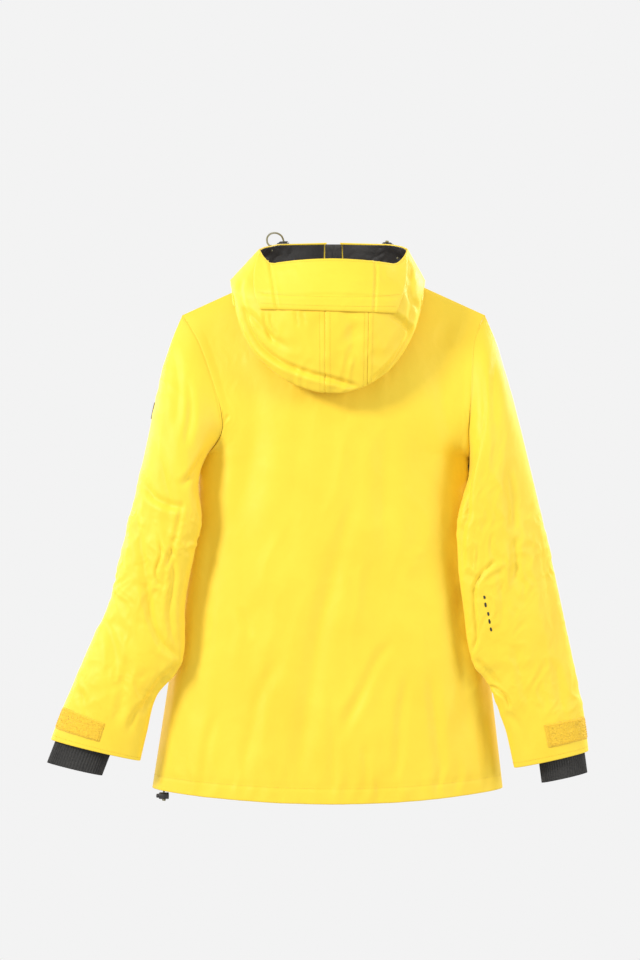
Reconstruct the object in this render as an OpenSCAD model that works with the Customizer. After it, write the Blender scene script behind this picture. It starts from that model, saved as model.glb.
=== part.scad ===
// Hooded ski jacket, hanging empty from its neck, zipped up, with its hood down at the back.
// Origin: centre of the neck opening at the height of the neck seam. +Z up, front towards -Y,
// wearer's left towards +X. Millimetres.

/* [Torso] */
// Neck centre to shoulder point
shoulder_half = 223; // [215:1:230]
// Height from the neck seam down to the shoulder points
shoulder_drop = 62; // [58:1:66]
// Half of the neck opening's width
neck_half = 87; // [84:1:90]
// Height from the neck seam down to the underarm points
armpit_drop = 272; // [268:1:278]
// Half of the chest's width at the underarm
chest_half = 200; // [196:1:203]
// Half of the hem's width on the left and on the right, which hang unevenly
hem_half = [267, 249]; // [240:1:270]
// Height from the neck seam down to the hem at the side seams
side_length = 757; // [745:1:765]
// How much lower the back hem hangs than the sides
hem_dip = 18; // [10:1:24]
// Depth of the hanging body behind the neck centre, at the hem
back_depth = 70; // [66:1:74]
// Depth of the front, where the front zip hangs straight
front_depth = 62; // [60:1:64]

/* [Fabric] */
// Thickness of the shell
shell_t = 1.6; // [1.2:0.1:1.8]
// Thickness of the linings
lining_t = 1; // [0.8:0.1:1.2]
// Width of the seam lines between the panels
seam_gap = 0.8; // [0.7:0.1:1]

/* [Hood] */
// How far the lowered hood hangs below the neck seam
hood_drop = 178; // [170:1:184]
// Half of the lowered hood's width on the left and on the right
hood_half = [150, 133]; // [125:1:152]
// Height of the brim, folded back on the hood
brim_height = 78; // [70:1:80]
// Height of the collar above the neck seam at the front
collar_height = 50; // [44:1:52]

/* [Zips] */
// Length of the zips of the hand pockets
pocket_zip_length = 170; // [150:5:180]
// Length of the zips under the arms
pit_zip_length = 130; // [110:5:135]
// Thickness of the zip tapes
tape_t = 0.8; // [0.6:0.1:0.9]

/* [Cords] */
// Diameter of the elastic cords
cord_d = 2.8; // [2.4:0.1:3]
// Diameter of the cord locks' barrels
lock_d = 10; // [9.6:0.1:10.5]
// Length of the cord locks' barrels
lock_length = 14.5; // [14:0.5:15]
// Travel of the cord locks' buttons
button_travel = 2.5; // [2:0.1:2.5]

/* [Hidden] */

shell_colour = [1, 0.86, 0.13];
patch_colour = [0.95, 0.68, 0.08];
dark_colour = [0.09, 0.08, 0.08];
cord_colour = [0.3, 0.29, 0.2];

LEFT = 1;
RIGHT = -1;
BACK = 1;
FRONT = -1;

// ---- numbers and curves -------------------------------------------------------------------

function lerp(a, b, t) = a + (b - a) * t;
function pick(side, pair) = side == LEFT ? pair[0] : pair[1];

// Smooth curve through the points of a path, t from 0 at its start to 1 at its end
function along(path, t) = let (
        n = len(path) - 1,
        k = max(0, min(floor(t * n), n - 1)),
        f = t * n - k,
        a = path[max(k - 1, 0)],
        b = path[k],
        c = path[k + 1],
        d = path[min(k + 2, n)]
    )
    0.5 * (2 * b + (c - a) * f + (2 * a - 5 * b + 4 * c - d) * f * f
        + (3 * b - a - 3 * c + d) * f * f * f);

function steps(a, b, n) = [for (k = [0 : n]) lerp(a, b, k / n)];
function reversed(list) = [for (k = [len(list) - 1 : -1 : 0]) list[k]];
function unit(v) = v / max(norm(v), 0.000001);

// ---- sheets of fabric ---------------------------------------------------------------------

// Outward normal of a grid of points, whose columns run so that columns cross rows is outward
function grid_normal(g, r, c) = let (
        rows = len(g) - 1,
        cols = len(g[0]) - 1,
        across = g[r][min(c + 1, cols)] - g[r][max(c - 1, 0)],
        down = g[min(r + 1, rows)][c] - g[max(r - 1, 0)][c]
    )
    unit(cross(across, down));

function shifted(g, by) = [for (r = [0 : len(g) - 1]) [for (c = [0 : len(g[0]) - 1])
    g[r][c] + grid_normal(g, r, c) * by]];

function flat_list(g) = [for (row = g) for (p = row) p];

// Keeps points on one side of the seam plane between back and front
function kept(points, face) = face == 0 ? points
    : [for (p = points) [p.x, face * max(face * p.y, seam_gap / 2), p.z]];

// Closed sheet of thickness t; lift is how far its outer face stands outside the grid
module sheet(g, t, lift = 0, face = 0) {
    rows = len(g) - 1;
    cols = len(g[0]) - 1;
    w = cols + 1;
    inner = (rows + 1) * w;
    all_points = concat(flat_list(shifted(g, lift)), flat_list(shifted(g, lift - t)));
    outer_faces = [for (r = [0 : rows - 1]) for (c = [0 : cols - 1]) let (a = r * w + c)
        each [[a, a + w, a + w + 1], [a, a + w + 1, a + 1]]];
    inner_faces = [for (f = outer_faces) [f[2] + inner, f[1] + inner, f[0] + inner]];
    rim = concat(
        [for (c = [0 : cols - 1]) c],
        [for (r = [0 : rows - 1]) r * w + cols],
        [for (c = [0 : cols - 1]) rows * w + cols - c],
        [for (r = [0 : rows - 1]) (rows - r) * w]);
    rim_faces = [for (k = [0 : len(rim) - 1])
        let (a = rim[k], b = rim[(k + 1) % len(rim)])
        each [[a, b, b + inner], [a, b + inner, a + inner]]];
    polyhedron(points = kept(all_points, face),
        faces = concat(outer_faces, inner_faces, rim_faces));
}

// Round cord swept along points; beside is a direction the cord never runs in
module cord(points, d, beside) {
    sides = 8;
    n = len(points) - 1;
    rings = [for (k = [0 : n]) let (
            dir = unit(points[min(k + 1, n)] - points[max(k - 1, 0)]),
            u = unit(cross(dir, beside)),
            v = cross(dir, u)
        )
        [for (a = [0 : sides - 1]) points[k]
            + (u * cos(a * 360 / sides) + v * sin(a * 360 / sides)) * d / 2]];
    wall = [for (k = [0 : n - 1]) for (a = [0 : sides - 1]) let (
            p = k * sides + a,
            q = k * sides + (a + 1) % sides
        )
        each [[p, p + sides, q + sides], [p, q + sides, q]]];
    start = [for (a = [0 : sides - 1]) a];
    end = [for (a = [sides - 1 : -1 : 0]) n * sides + a];
    polyhedron(points = flat_list(rings), faces = concat(wall, [start, end]));
}

// ---- torso --------------------------------------------------------------------------------

round_power = 2.4;
arm_rows = 6;
side_rows = 7;
neck_dip_back = 4;
neck_dip_front = 42;
neck_depth_back = 47;

// Shares of the way from neck to side at which the columns stand, closer towards the side seam
panel_cols = 8;
panel_shares = concat([0, 0.1], [for (k = [1 : panel_cols]) sin(90 * k / panel_cols)]);
last_share = len(panel_shares) - 1;

// Back edge of the armhole from the shoulder point to the underarm, and its front edge
function armhole(side, face) = let (
        x = pick(side, [
            face == BACK ? [0, -24, -44, -58, -60, -44] : [0, -19, -32, -34, -30, -23],
            face == BACK ? [0, -18, -22, -24, -26, -24] : [0, -17, -24, -26, -24, -20]]),
        y = face == BACK ? [0, 24, 40, 48, 44, 28] : [0, -22, -34, -36, -28, -14],
        z = [0, 36, 88, 138, 172, 198]
    )
    concat(
        [for (k = [0 : 5]) [side * (shoulder_half + x[k]), y[k], -shoulder_drop - z[k]]],
        [[side * chest_half, 0, -armpit_drop]]);

// Side seam from the underarm to the hem
function side_seam(side) = [for (k = [0 : 6]) let (
        share = k / 6,
        spread = pow(share, 1.15)
    )
    [side * lerp(chest_half, pick(side, hem_half), spread), 3 * share,
        lerp(-armpit_drop, -side_length, share)]];

// The middle of the back and of the front, from the neck to the hem
back_middle = [[0, 47, -4], [0, 53, -70], [0, 57, -160], [0, 60, -262]];
back_middle_low = [[0, 60, -262], [0, 66, -400], [0, back_depth, -560],
    [0, back_depth, -side_length - hem_dip]];
front_middle = [[0, -front_depth, -42], [0, -front_depth, -262]];
front_middle_low = [[0, -front_depth, -262], [0, -front_depth, -side_length - hem_dip]];

function shoulder_z(a) = -shoulder_drop * (a - neck_half) / (shoulder_half - neck_half);

// Neck seam and shoulder seam as one line, a share s of the way from the centre to the shoulder
function top_line(side, face, s) = let (
        a = s * shoulder_half,
        neck = sqrt(max(0, 1 - pow(a / neck_half, 2))),
        depth = face == BACK ? neck_depth_back : front_depth,
        dip = face == BACK ? neck_dip_back : neck_dip_front
    )
    [side * a, face * depth * neck, a < neck_half ? -dip * neck * neck : shoulder_z(a)];

// Row of the torso between its middle and its edge
function bulged(edge, middle, s, power) = [
    edge.x * s,
    lerp(edge.y, middle.y, sqrt(max(0, 1 - pow(s, power)))),
    lerp(edge.z, middle.z, 1 - s * s)];

// Torso surface; v from 0 at the top line over 1 at the underarm to 2 at the hem
function torso(side, face, v, s) = let (
        upper = v <= 1,
        edge = upper ? along(armhole(side, face), v) : along(side_seam(side), v - 1),
        middle = face == BACK
            ? (upper ? along(back_middle, v) : along(back_middle_low, v - 1))
            : (upper ? along(front_middle, v) : along(front_middle_low, v - 1)),
        body = bulged(edge, middle, s, round_power),
        first_edge = armhole(side, face)[0],
        first_middle = face == BACK ? back_middle[0] : front_middle[0],
        fade = v < 0.8 ? pow(1 - v / 0.8, 2) : 0,
        seam = [0, face * seam_gap / 2, 0]
    )
    body + fade * (top_line(side, face, s) - bulged(first_edge, first_middle, s, round_power))
        + seam;

torso_rows = concat(steps(0, 1, arm_rows), [for (k = [1 : side_rows]) 1 + k / side_rows]);

// Grid of the back from side to side, rows from the top down, short of the side seams by skip
// columns
function back_grid(rows, skip = 0) = [for (v = rows) concat(
    [for (k = [last_share - skip : -1 : 1]) torso(RIGHT, BACK, v, panel_shares[k])],
    [for (k = [0 : last_share - skip]) torso(LEFT, BACK, v, panel_shares[k])])];

// A front panel keeps its centre edge straight, half a zip's width from the middle
function front_grid(side, rows, first = 0, skip = 0) = [for (v = rows) let (
        row = [for (k = [first : last_share - skip]) let (
                share = panel_shares[k],
                p = torso(side, FRONT, v, share)
            )
            [p.x + side * panel_inset * (1 - share), p.y, p.z]]
    )
    side == LEFT ? reversed(row) : row];

panel_inset = 9.5;
lining_drop = 2.6;
lining_rows = concat(steps(2 / arm_rows, 1, arm_rows - 2),
    [for (k = [1 : side_rows - 1]) 1 + k / side_rows], [1.95]);

module back_panel() {
    color(shell_colour) sheet(back_grid(torso_rows), shell_t, 0, BACK);
}

module front_panel(side) {
    color(shell_colour) sheet(front_grid(side, torso_rows), shell_t, 0, FRONT);
}

module back_lining() {
    color(dark_colour) sheet(back_grid(lining_rows, 1), lining_t, -shell_t - lining_drop, BACK);
}

module front_lining(side) {
    color(dark_colour)
        sheet(front_grid(side, lining_rows, 1, 1), lining_t, -shell_t - lining_drop, FRONT);
}

// ---- hem ----------------------------------------------------------------------------------

facing_rows = steps(1.955, 1.995, 2);
facing_drop = 7;
cord_drop = 4;
cord_level = 1.975;

module hem_facing() {
    color(dark_colour) {
        sheet(back_grid(facing_rows, 2), lining_t, -facing_drop, BACK);
        for (side = [LEFT, RIGHT])
            sheet(front_grid(side, facing_rows, 1, 2), lining_t, -facing_drop, FRONT);
    }
}

// The drawcord lies between the shell and the facing and ends at both sides of the front zip
hem_cord_shares = concat([for (k = [1 : last_share - 2]) panel_shares[k]], [0.955]);

// Inward direction of the torso surface
function inward(side, face, v, s) = let (
        step = 0.02,
        across = torso(side, face, v, s + step) - torso(side, face, v, s - step),
        down = torso(side, face, v, s) - torso(side, face, v - step, s)
    )
    unit(cross(down, across)) * side * face;

function hem_line(side, face, shares) = [for (s = shares)
    torso(side, face, cord_level, s) + inward(side, face, cord_level, s) * cord_drop];

hem_route = concat(
    hem_line(RIGHT, FRONT, hem_cord_shares),
    reversed(hem_line(RIGHT, BACK, hem_cord_shares)),
    hem_line(LEFT, BACK, hem_cord_shares),
    reversed(hem_line(LEFT, FRONT, hem_cord_shares)));

// Its tail comes out under the left side and hangs through the cord lock there
hem_lock_place = [248.7, 23.3, -767];
hem_tail = [[hem_lock_place.x, hem_lock_place.y, -744], hem_lock_place - [0, 0, 7]];

module hem_drawcord() {
    color(cord_colour) {
        cord(hem_route, cord_d, [0, 0, 1]);
        cord(hem_tail, cord_d, [1, 0, 0]);
    }
}

// ---- powder skirt -------------------------------------------------------------------------

skirt_drop = 10;
skirt_rows = steps(1.6, 1.86, 3);
snap_rows = [1.64, 1.8];

module powder_skirt() {
    color(dark_colour) {
        sheet(back_grid(skirt_rows, 2), lining_t, -skirt_drop, BACK);
        for (side = [LEFT, RIGHT])
            sheet(front_grid(side, skirt_rows, 0, 2), lining_t, -skirt_drop, FRONT);
    }
}

snap_d = 11;
snap_t = 1.6;

module skirt_snaps() {
    color("dimgray")
        for (v = snap_rows)
            for (side = [LEFT, RIGHT])
                translate([side * 24, -front_depth + skirt_drop + lining_t + 1.4,
                        torso(side, FRONT, v, 0.1).z])
                    rotate([-90, 0, 0])
                        cylinder(d = snap_d, h = snap_t, $fn = 32);
}

// ---- collar and hood ----------------------------------------------------------------------

// All of these take an angle round the neck: 0 at the back, 90 at the sides, 180 at the front.

collar_clear = 1.2;

function neck_seam(side, a) = let (depth = a < 90 ? neck_depth_back : front_depth)
    [side * neck_half * sin(a), depth * cos(a),
        a < 90 ? 2 : 2 - (neck_dip_front + 1) * pow(cos(a), 2)];

function collar_rim(side, a) = let (turn = (a - 90) / 90)
    [side * lerp(102, 88, turn) * sin(a), (front_depth + 2) * cos(a) + 6 * sin(a),
        lerp(collar_height - 12, collar_height, sqrt(turn))];

// Collar wall at the front: u from 0 at the neck seam to 1 at its rim
function collar_front(side, a, u) = let (
        p = lerp(neck_seam(side, a), collar_rim(side, a), u),
        belly = 10 * sin(180 * u) * sin(a)
    )
    [p.x + side * belly, a > 168 ? lerp(p.y, -front_depth, (a - 168) / 12) : p.y,
        p.z + collar_clear * (1 - u)];

// At the sides the collar widens into the folded sides of the hood
collar_start = 90;
collar_turn = 130;
collar_end = 173.5;

function collar(side, a, u) = let (
        fade = a < collar_turn ? pow((collar_turn - a) / (collar_turn - collar_start), 2) : 0,
        wide = along(hood_leaf(side, 90), 1 - u) - [0, 1.8, 0]
    )
    lerp(collar_front(side, a, u), wide, fade);

collar_angles = steps(collar_start, collar_end, 10);
collar_rows = steps(1, 0.02, 10);

function collar_grid(side, angles, rows) = [for (u = rows)
    let (row = [for (a = angles) collar(side, a, u)])
    side == LEFT ? reversed(row) : row];

module collar_half(side) {
    color(shell_colour) sheet(collar_grid(side, collar_angles, collar_rows), shell_t);
}

module collar_lining() {
    angles = [for (k = [1 : len(collar_angles) - 1]) collar_angles[k]];
    rows = [for (k = [1 : len(collar_rows) - 3]) collar_rows[k]];
    color(dark_colour)
        for (side = [LEFT, RIGHT])
            sheet(collar_grid(side, angles, rows), lining_t, -shell_t - 1.8);
}

// The lowered hood is a pocket of fabric: an inner leaf down from the neck seam, a bottom fold,
// and an outer leaf up to the rim. Its brim lies over the top of the outer leaf.
function fold_point(side, a, low) = [
    side * (pick(side, hood_half) - 4) * sin(a),
    12 + (low ? 78 : 74) * sqrt(max(cos(a), 0)),
    -22 - (hood_drop - 22) * max(cos(a), 0) + (low ? 0 : 4)];

function face_point(side, a) = [
    side * pick(side, hood_half) * sin(a),
    14 + 98 * pow(max(cos(a), 0), 0.6),
    -10 - 52 * max(cos(a), 0)];

function rim_point(side, a) = [
    side * lerp(116, 108, a / 90) * sin(a),
    8 + 86 * pow(max(cos(a), 0), 0.7),
    brim_height - 62 - 10 * pow(sin(a), 2) + 30 * pow(max(0, sin(a) - 0.75) / 0.25, 2)];

function hood_leaf(side, a) = let (
        seam = neck_seam(side, a) + [0, 1, collar_clear],
        inner = fold_point(side, a, false),
        low = fold_point(side, a, true),
        face = face_point(side, a),
        rim = rim_point(side, a)
    )
    [rim, lerp(rim, face, 0.5) + [0, 3, 0], face, lerp(face, low, 0.6) + [0, 9, 0],
        low + [0, 8, 5], low, inner - [0, 4, -4], lerp(inner, seam, 0.45), seam];

function signed_side(a) = a < 0 ? RIGHT : LEFT;

// Grid over signed angles, right negative; v from 0 at the rim to 1 at the neck seam
function hood_grid(angles, rows) = [for (v = rows)
    [for (a = angles) along(hood_leaf(signed_side(a), abs(a)), v)]];

hood_end = 88.6;
hood_seams = [-22, 5];
hood_seam_turn = 0.25;
brim_foot = 0.25;
brim_end = 66;
shell_rows = concat([0.29, 0.4], steps(0.5, 0.75, 4), [0.86, 0.97]);
side_rows_top = concat([0.02, 0.14], [0.29, 0.4], steps(0.5, 0.75, 4), [0.86, 0.97]);

module hood_panel(a0, a1, cols) {
    color(shell_colour) sheet(hood_grid(steps(a0, a1, cols), shell_rows), shell_t);
}

module hood_center_panel() {
    hood_panel(hood_seams[0] + hood_seam_turn, hood_seams[1] - hood_seam_turn, 4);
}

module hood_left_panel() {
    hood_panel(hood_seams[1] + hood_seam_turn, brim_end, 7);
    color(shell_colour)
        sheet(hood_grid(steps(brim_end + 0.6, hood_end, 3), side_rows_top), shell_t);
}

module hood_right_panel() {
    hood_panel(-brim_end, hood_seams[0] - hood_seam_turn, 5);
    color(shell_colour)
        sheet(hood_grid(steps(-hood_end, -brim_end - 0.6, 3), side_rows_top), shell_t);
}

module hood_brim() {
    color(shell_colour)
        sheet(hood_grid(steps(-brim_end, brim_end, 14), steps(0.01, brim_foot, 3)), shell_t + 0.6,
            0.8);
}

module hood_lining() {
    color(dark_colour)
        sheet(hood_grid(steps(-hood_end + 2, hood_end - 2, 16),
            concat([0.04, 0.15, 0.26, 0.38], steps(0.5, 0.75, 4), [0.85, 0.94])),
            lining_t, -shell_t - 2.4);
}

loop_radius = 32;
loop_width = 8;

// Hang loop: an arc of webbing that stands off the back of the neck
module hang_loop() {
    color(dark_colour)
        intersection() {
            translate([0, 64, -24])
                difference() {
                    cylinder(r = loop_radius, h = loop_width, $fn = 96);
                    translate([0, 0, -1])
                        cylinder(r = loop_radius - 1.2, h = loop_width + 2, $fn = 96);
                }
            translate([-40, 20, -40])
                cube([80, 21.4, 40]);
        }
}

// ---- sleeves ------------------------------------------------------------------------------

// Outer and inner fold line of a hanging sleeve from the armhole to the cuff
left_outer = [[223, 0, -62], [240, 10, -105], [254, 20, -160], [266, 28, -215], [284, 32, -300],
    [305, 34, -390], [324, 36, -474], [358, 38, -555], [391, 40, -626], [413, 40, -683]];
left_inner = [[200, 0, -272], [207, 26, -298], [205, 44, -325], [202, 52, -361], [208, 54, -406],
    [216, 54, -478], [222, 52, -570], [258, 48, -620], [272, 46, -672], [282, 44, -714]];
right_outer = [[-223, 0, -62], [-240, 10, -105], [-254, 20, -157], [-269, 28, -212],
    [-288, 32, -290], [-309, 34, -380], [-330, 36, -475], [-350, 38, -575], [-364, 40, -640],
    [-372, 40, -700]];
right_inner = [[-200, 0, -272], [-207, 26, -298], [-204, 44, -325], [-196, 52, -361],
    [-190, 58, -406], [-192, 60, -490], [-199, 58, -560], [-226, 54, -604], [-248, 50, -660],
    [-263, 46, -724]];
sleeve_depths = [38, 42, 40, 36, 33, 31, 29, 28, 27, 26];

function sleeve_lines(side) = side == LEFT ? [left_outer, left_inner] : [right_outer, right_inner];

// Ellipse between the two fold lines; a from 0 at the outer line to 180 at the inner one, round
// the back when positive and round the front when negative
function sleeve_oval(side, t, a) = let (
        lines = sleeve_lines(side),
        outer = along(lines[0], t),
        inner = along(lines[1], t)
    )
    (outer + inner) / 2 + cos(a) * (outer - inner) / 2
        + [0, sin(a) * along(sleeve_depths, t), 0];

armhole_reach = 0.3;

function sleeve(side, t, a) = let (
        fade = t < armhole_reach ? pow(1 - t / armhole_reach, 2) : 0,
        hole = along(armhole(side, a > 0 ? BACK : FRONT), abs(a) / 180)
    )
    sleeve_oval(side, t, a) + fade * (hole - sleeve_oval(side, 0, a));

// Angles run so that the grid's outside is the sleeve's outside
function sleeve_grid(side, rows, a0, a1, cols) = let (
        turn = side == LEFT ? steps(a1, a0, cols) : steps(a0, a1, cols)
    )
    [for (t = rows) [for (a = turn) sleeve(side, t, a)]];

sleeve_top = 0.036;
sleeve_rows = concat([sleeve_top, 0.07], steps(0.11, 1, 11));
sleeve_seam = 2.2;
sleeve_cols = 8;

module sleeve_back(side) {
    color(shell_colour)
        sheet(sleeve_grid(side, sleeve_rows, sleeve_seam, 180 - sleeve_seam, sleeve_cols),
            shell_t);
}

module sleeve_front(side) {
    color(shell_colour)
        sheet(sleeve_grid(side, sleeve_rows, -180 + sleeve_seam, -sleeve_seam, sleeve_cols),
            shell_t);
}

// The lining has its columns under those of both shell halves
function lining_grid(side) = let (
        half = steps(sleeve_seam, 180 - sleeve_seam, sleeve_cols),
        turn = concat([for (k = [sleeve_cols : -1 : 0]) -half[k]], half)
    )
    [for (k = [1 : len(sleeve_rows) - 2])
        [for (a = side == LEFT ? reversed(turn) : turn) sleeve(side, sleeve_rows[k], a)]];

module sleeve_lining(side) {
    color(dark_colour)
        sheet(lining_grid(side), lining_t, -shell_t - 2.4);
}

// Gaiter: a stretch cuff narrower than the sleeve, which shows under its end
gaiter_share = 0.6;
gaiter_shift = 0.36;
gaiter_depth = 0.62;
gaiter_length = [34, 30];

function gaiter_ring(side, k, a) = let (
        t = lerp(0.9, 1, min(k, 1)),
        lines = sleeve_lines(side),
        outer = along(lines[0], t),
        inner = along(lines[1], t),
        axis = unit(lines[0][9] - lines[0][8]),
        middle = lerp(outer, inner, gaiter_shift),
        reach = (outer - inner) / 2 * gaiter_share
    )
    middle + cos(a) * reach + [0, sin(a) * along(sleeve_depths, t) * gaiter_depth, 0]
        + axis * max(0, k - 1) * pick(side, gaiter_length);

module gaiter(side) {
    turn = side == LEFT ? steps(178, -178, 16) : steps(-178, 178, 16);
    color(dark_colour)
        sheet([for (k = [0, 0.5, 1, 1.5, 2]) [for (a = turn) gaiter_ring(side, k, a)]], shell_t);
}

patch_rows = [0.905, 0.93, 0.955];

module cuff_patch(side) {
    color(patch_colour)
        sheet(sleeve_grid(side, patch_rows, 12, 92, 5), 1.2, 1.9);
}

tab_rows = [0.905, 0.93, 0.955];
tab_lift = 2.4;
tab_t = 1.6;

module cuff_tab(side) {
    color(patch_colour)
        sheet(sleeve_grid(side, tab_rows, -118, -34, 5), tab_t, tab_lift);
}

module arm_badge() {
    color(dark_colour)
        sheet(sleeve_grid(LEFT, [0.29, 0.31, 0.333], -30, 4, 4), 1.2, 1.9);
}

// ---- zips ---------------------------------------------------------------------------------

// A zip's own frame: its run starts at the origin and goes down -Z, and its face looks at -Y.
bead_gap = 0.7;
bead_edge = 2.2;
bead_t = 1.6;
stop_length = 3;

module zip_half(length, tape_edge) {
    translate([bead_gap + 0.3, -tape_t, -length])
        cube([tape_edge - bead_gap - 0.3, tape_t, length]);
    translate([bead_gap, -tape_t - bead_t, -length])
        cube([bead_edge - bead_gap, bead_t + 0.2, length]);
}

module zip_run(length, tape_edge) {
    for (turn = [0, 1])
        mirror([turn, 0, 0])
            zip_half(length, tape_edge);
    for (z = [0, -length + stop_length])
        translate([-bead_edge, -tape_t - bead_t, z - stop_length])
            cube([2 * bead_edge, bead_t, stop_length]);
}

slider_half = 4.4;
slider_length = 11;
slider_clear = 0.45;
lip_inner = 2.7;
roof_y = -tape_t - bead_t - slider_clear;
roof_t = 1.8;
ear_x = 2.3;
ear_t = 1.1;
bail_y = roof_y - roof_t - 1.9;
bail_z = -5.5;
bail_r = 0.75;

module slider_body() {
    translate([-slider_half, roof_y - roof_t, -slider_length])
        cube([2 * slider_half, roof_t, slider_length]);
    translate([-0.35, roof_y, -slider_length + 1])
        cube([0.7, 1.6, 4]);
    for (turn = [0, 1])
        mirror([turn, 0, 0]) {
            translate([lip_inner, roof_y - 0.1, -slider_length])
                cube([slider_half - lip_inner, -roof_y - tape_t - slider_clear, slider_length]);
            translate([ear_x, bail_y - 1.2, bail_z - 1.5])
                cube([ear_t, roof_y - roof_t - bail_y + 1.3, 3]);
        }
    translate([-ear_x - 0.1, bail_y, bail_z])
        rotate([0, 90, 0])
            cylinder(r = bail_r, h = 2 * ear_x + 0.2, $fn = 24);
}

pull_half = 1.9;
pull_t = 1.5;
eye_r = 1.1;

// Pull tab, hanging from the bail through its round eye
module pull_body(length) {
    difference() {
        union() {
            translate([-pull_half, bail_y - pull_t / 2, bail_z - length])
                cube([2 * pull_half, pull_t, length]);
            translate([-pull_half, bail_y, bail_z])
                rotate([0, 90, 0])
                    cylinder(r = eye_r + 0.6, h = 2 * pull_half, $fn = 32);
        }
        translate([-pull_half - 1, bail_y, bail_z])
            rotate([0, 90, 0])
                cylinder(r = eye_r, h = 2 * pull_half + 2, $fn = 32);
    }
    translate([-3.2, bail_y - 1.4, bail_z - length - 16])
        cube([6.4, 2.8, 17]);
}

front_zip_top = collar_height - 3;
front_zip_length = side_length + hem_dip + front_zip_top - 6;
front_zip_y = -front_depth + shell_t + 0.8;
front_tape_edge = 8.6;

module at_front_zip() {
    translate([0, front_zip_y, front_zip_top])
        children();
}

module front_zip_side(side) {
    color(dark_colour)
        at_front_zip()
            mirror([side == LEFT ? 0 : 1, 0, 0])
                zip_half(front_zip_length, front_tape_edge);
}

// The box at the foot of the right tape, into which the left tape's pin is pushed
zip_box_height = 6.5;

module zip_box() {
    color("dimgray")
        at_front_zip()
            translate([-bead_edge, -tape_t - bead_t, -front_zip_length - zip_box_height + 0.2])
                cube([bead_edge, bead_t + tape_t, zip_box_height]);
}

flap_y = front_zip_y + 3;
flap_half = 20;

module storm_flap() {
    color(shell_colour)
        translate([-flap_half, flap_y, -side_length - 4])
            cube([2 * flap_half, 1.4, side_length - 40]);
}

pocket_x = 120;
pocket_top = -470;
pocket_face = 8;
pocket_y = -60.4;
pit_turn = 53;
pit_lean = 6.1;
pit_place = [197, -27, -292];
side_tape_edge = 7;

module at_pocket_zip(side) {
    translate([side * pocket_x, pocket_y, pocket_top])
        rotate([0, 0, side * pocket_face])
            children();
}

module at_pit_zip(side) {
    translate([side * pit_place.x, pit_place.y, pit_place.z])
        rotate([0, -side * pit_lean, 0])
            rotate([0, 0, side * pit_turn])
                children();
}

module pocket_zip(side) {
    color(dark_colour) at_pocket_zip(side) zip_run(pocket_zip_length, side_tape_edge);
}

module pit_zip(side) {
    color(dark_colour) at_pit_zip(side) zip_run(pit_zip_length, side_tape_edge);
}

slider_start = -stop_length - 0.5;

module sliding() {
    translate([0, 0, slider_start])
        children();
}

front_pull_length = 16;
side_pull_length = 10;

// ---- cord locks and hood cords ------------------------------------------------------------

// A cord lock's own frame: cord hole along Z through the origin, button on the +X side.
cord_hole_d = 4;
bore_r = 3.2;
button_r = 3;
button_out = 4;
bore_floor = 1.5;

module lock_body() {
    half = lock_length / 2;
    difference() {
        translate([-half, 0, 0])
            rotate([0, 90, 0])
                cylinder(d = lock_d, h = lock_length, $fn = 48);
        translate([-half + bore_floor, 0, 0])
            rotate([0, 90, 0])
                cylinder(r = bore_r, h = lock_length, $fn = 48);
        translate([0, 0, -lock_d])
            cylinder(d = cord_hole_d, h = 2 * lock_d, $fn = 32);
    }
}

spring_length = 3.4;

module button_body() {
    start = -lock_length / 2 + bore_floor + spring_length;
    difference() {
        translate([start, 0, 0])
            rotate([0, 90, 0])
                cylinder(r = button_r, h = lock_length / 2 + button_out - start, $fn = 48);
        translate([-1.7, -1.7, -lock_d])
            cube([1.7 + 1.9 + button_travel, 3.4, 2 * lock_d]);
    }
}

spring_r = 2.7;

module spring_body() {
    translate([-lock_length / 2 + bore_floor, 0, 0])
        rotate([0, 90, 0])
            difference() {
                cylinder(r = spring_r, h = spring_length, $fn = 32);
                translate([0, 0, -1])
                    cylinder(r = spring_r - 0.6, h = spring_length + 2, $fn = 32);
            }
}

left_lock_place = [74, -64, 47];
right_lock_place = [-80, -58, 45];

module at_left_lock() {
    translate(left_lock_place) rotate([0, 0, -30]) children();
}

module at_right_lock() {
    translate(right_lock_place) rotate([0, 0, 212]) children();
}

module at_hem_lock() {
    translate(hem_lock_place) children();
}

left_cord_points = [[94, -22, 41], [98, -24, 47], [98, -28, 55], [93, -36, 61], [85, -48, 63],
    [78, -58, 60], [74.8, -63.6, 54], [74, -64, 47], [74, -64, 40], [74, -64, 36]];
right_cord_points = [[-101, -22, 20], [-105, -26, 16], [-106, -34, 6], [-101, -44, -2],
    [-92, -53, -2], [-84, -57, 8], [-80, -58, 22], [-80, -58, 34], [-80, -58, 44],
    [-80, -58, 51]];
cord_rings = 24;

module hood_cord(points) {
    color(cord_colour)
        cord([for (t = steps(0, 1, cord_rings)) along(points, t)], cord_d, [1, 0, 0]);
}

// ---- drawing ------------------------------------------------------------------------------

back_panel();
front_panel(LEFT);  // left_front_panel
front_panel(RIGHT);  // right_front_panel
back_lining();
front_lining(LEFT);  // left_front_lining
front_lining(RIGHT);  // right_front_lining
collar_half(LEFT);  // left_collar
collar_half(RIGHT);  // right_collar
collar_lining();
hang_loop();
front_zip_side(LEFT);  // front_zip_left
union() {  // front_zip_right
    front_zip_side(RIGHT);
    zip_box();
}
storm_flap();
pocket_zip(LEFT);  // left_pocket_zip
pocket_zip(RIGHT);  // right_pocket_zip
pit_zip(LEFT);  // left_pit_zip
pit_zip(RIGHT);  // right_pit_zip
powder_skirt();
skirt_snaps();
hem_facing();
hem_drawcord();
sleeve_back(LEFT);  // left_sleeve_back
sleeve_front(LEFT);  // left_sleeve_front
sleeve_back(RIGHT);  // right_sleeve_back
sleeve_front(RIGHT);  // right_sleeve_front
sleeve_lining(LEFT);  // left_sleeve_lining
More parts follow.
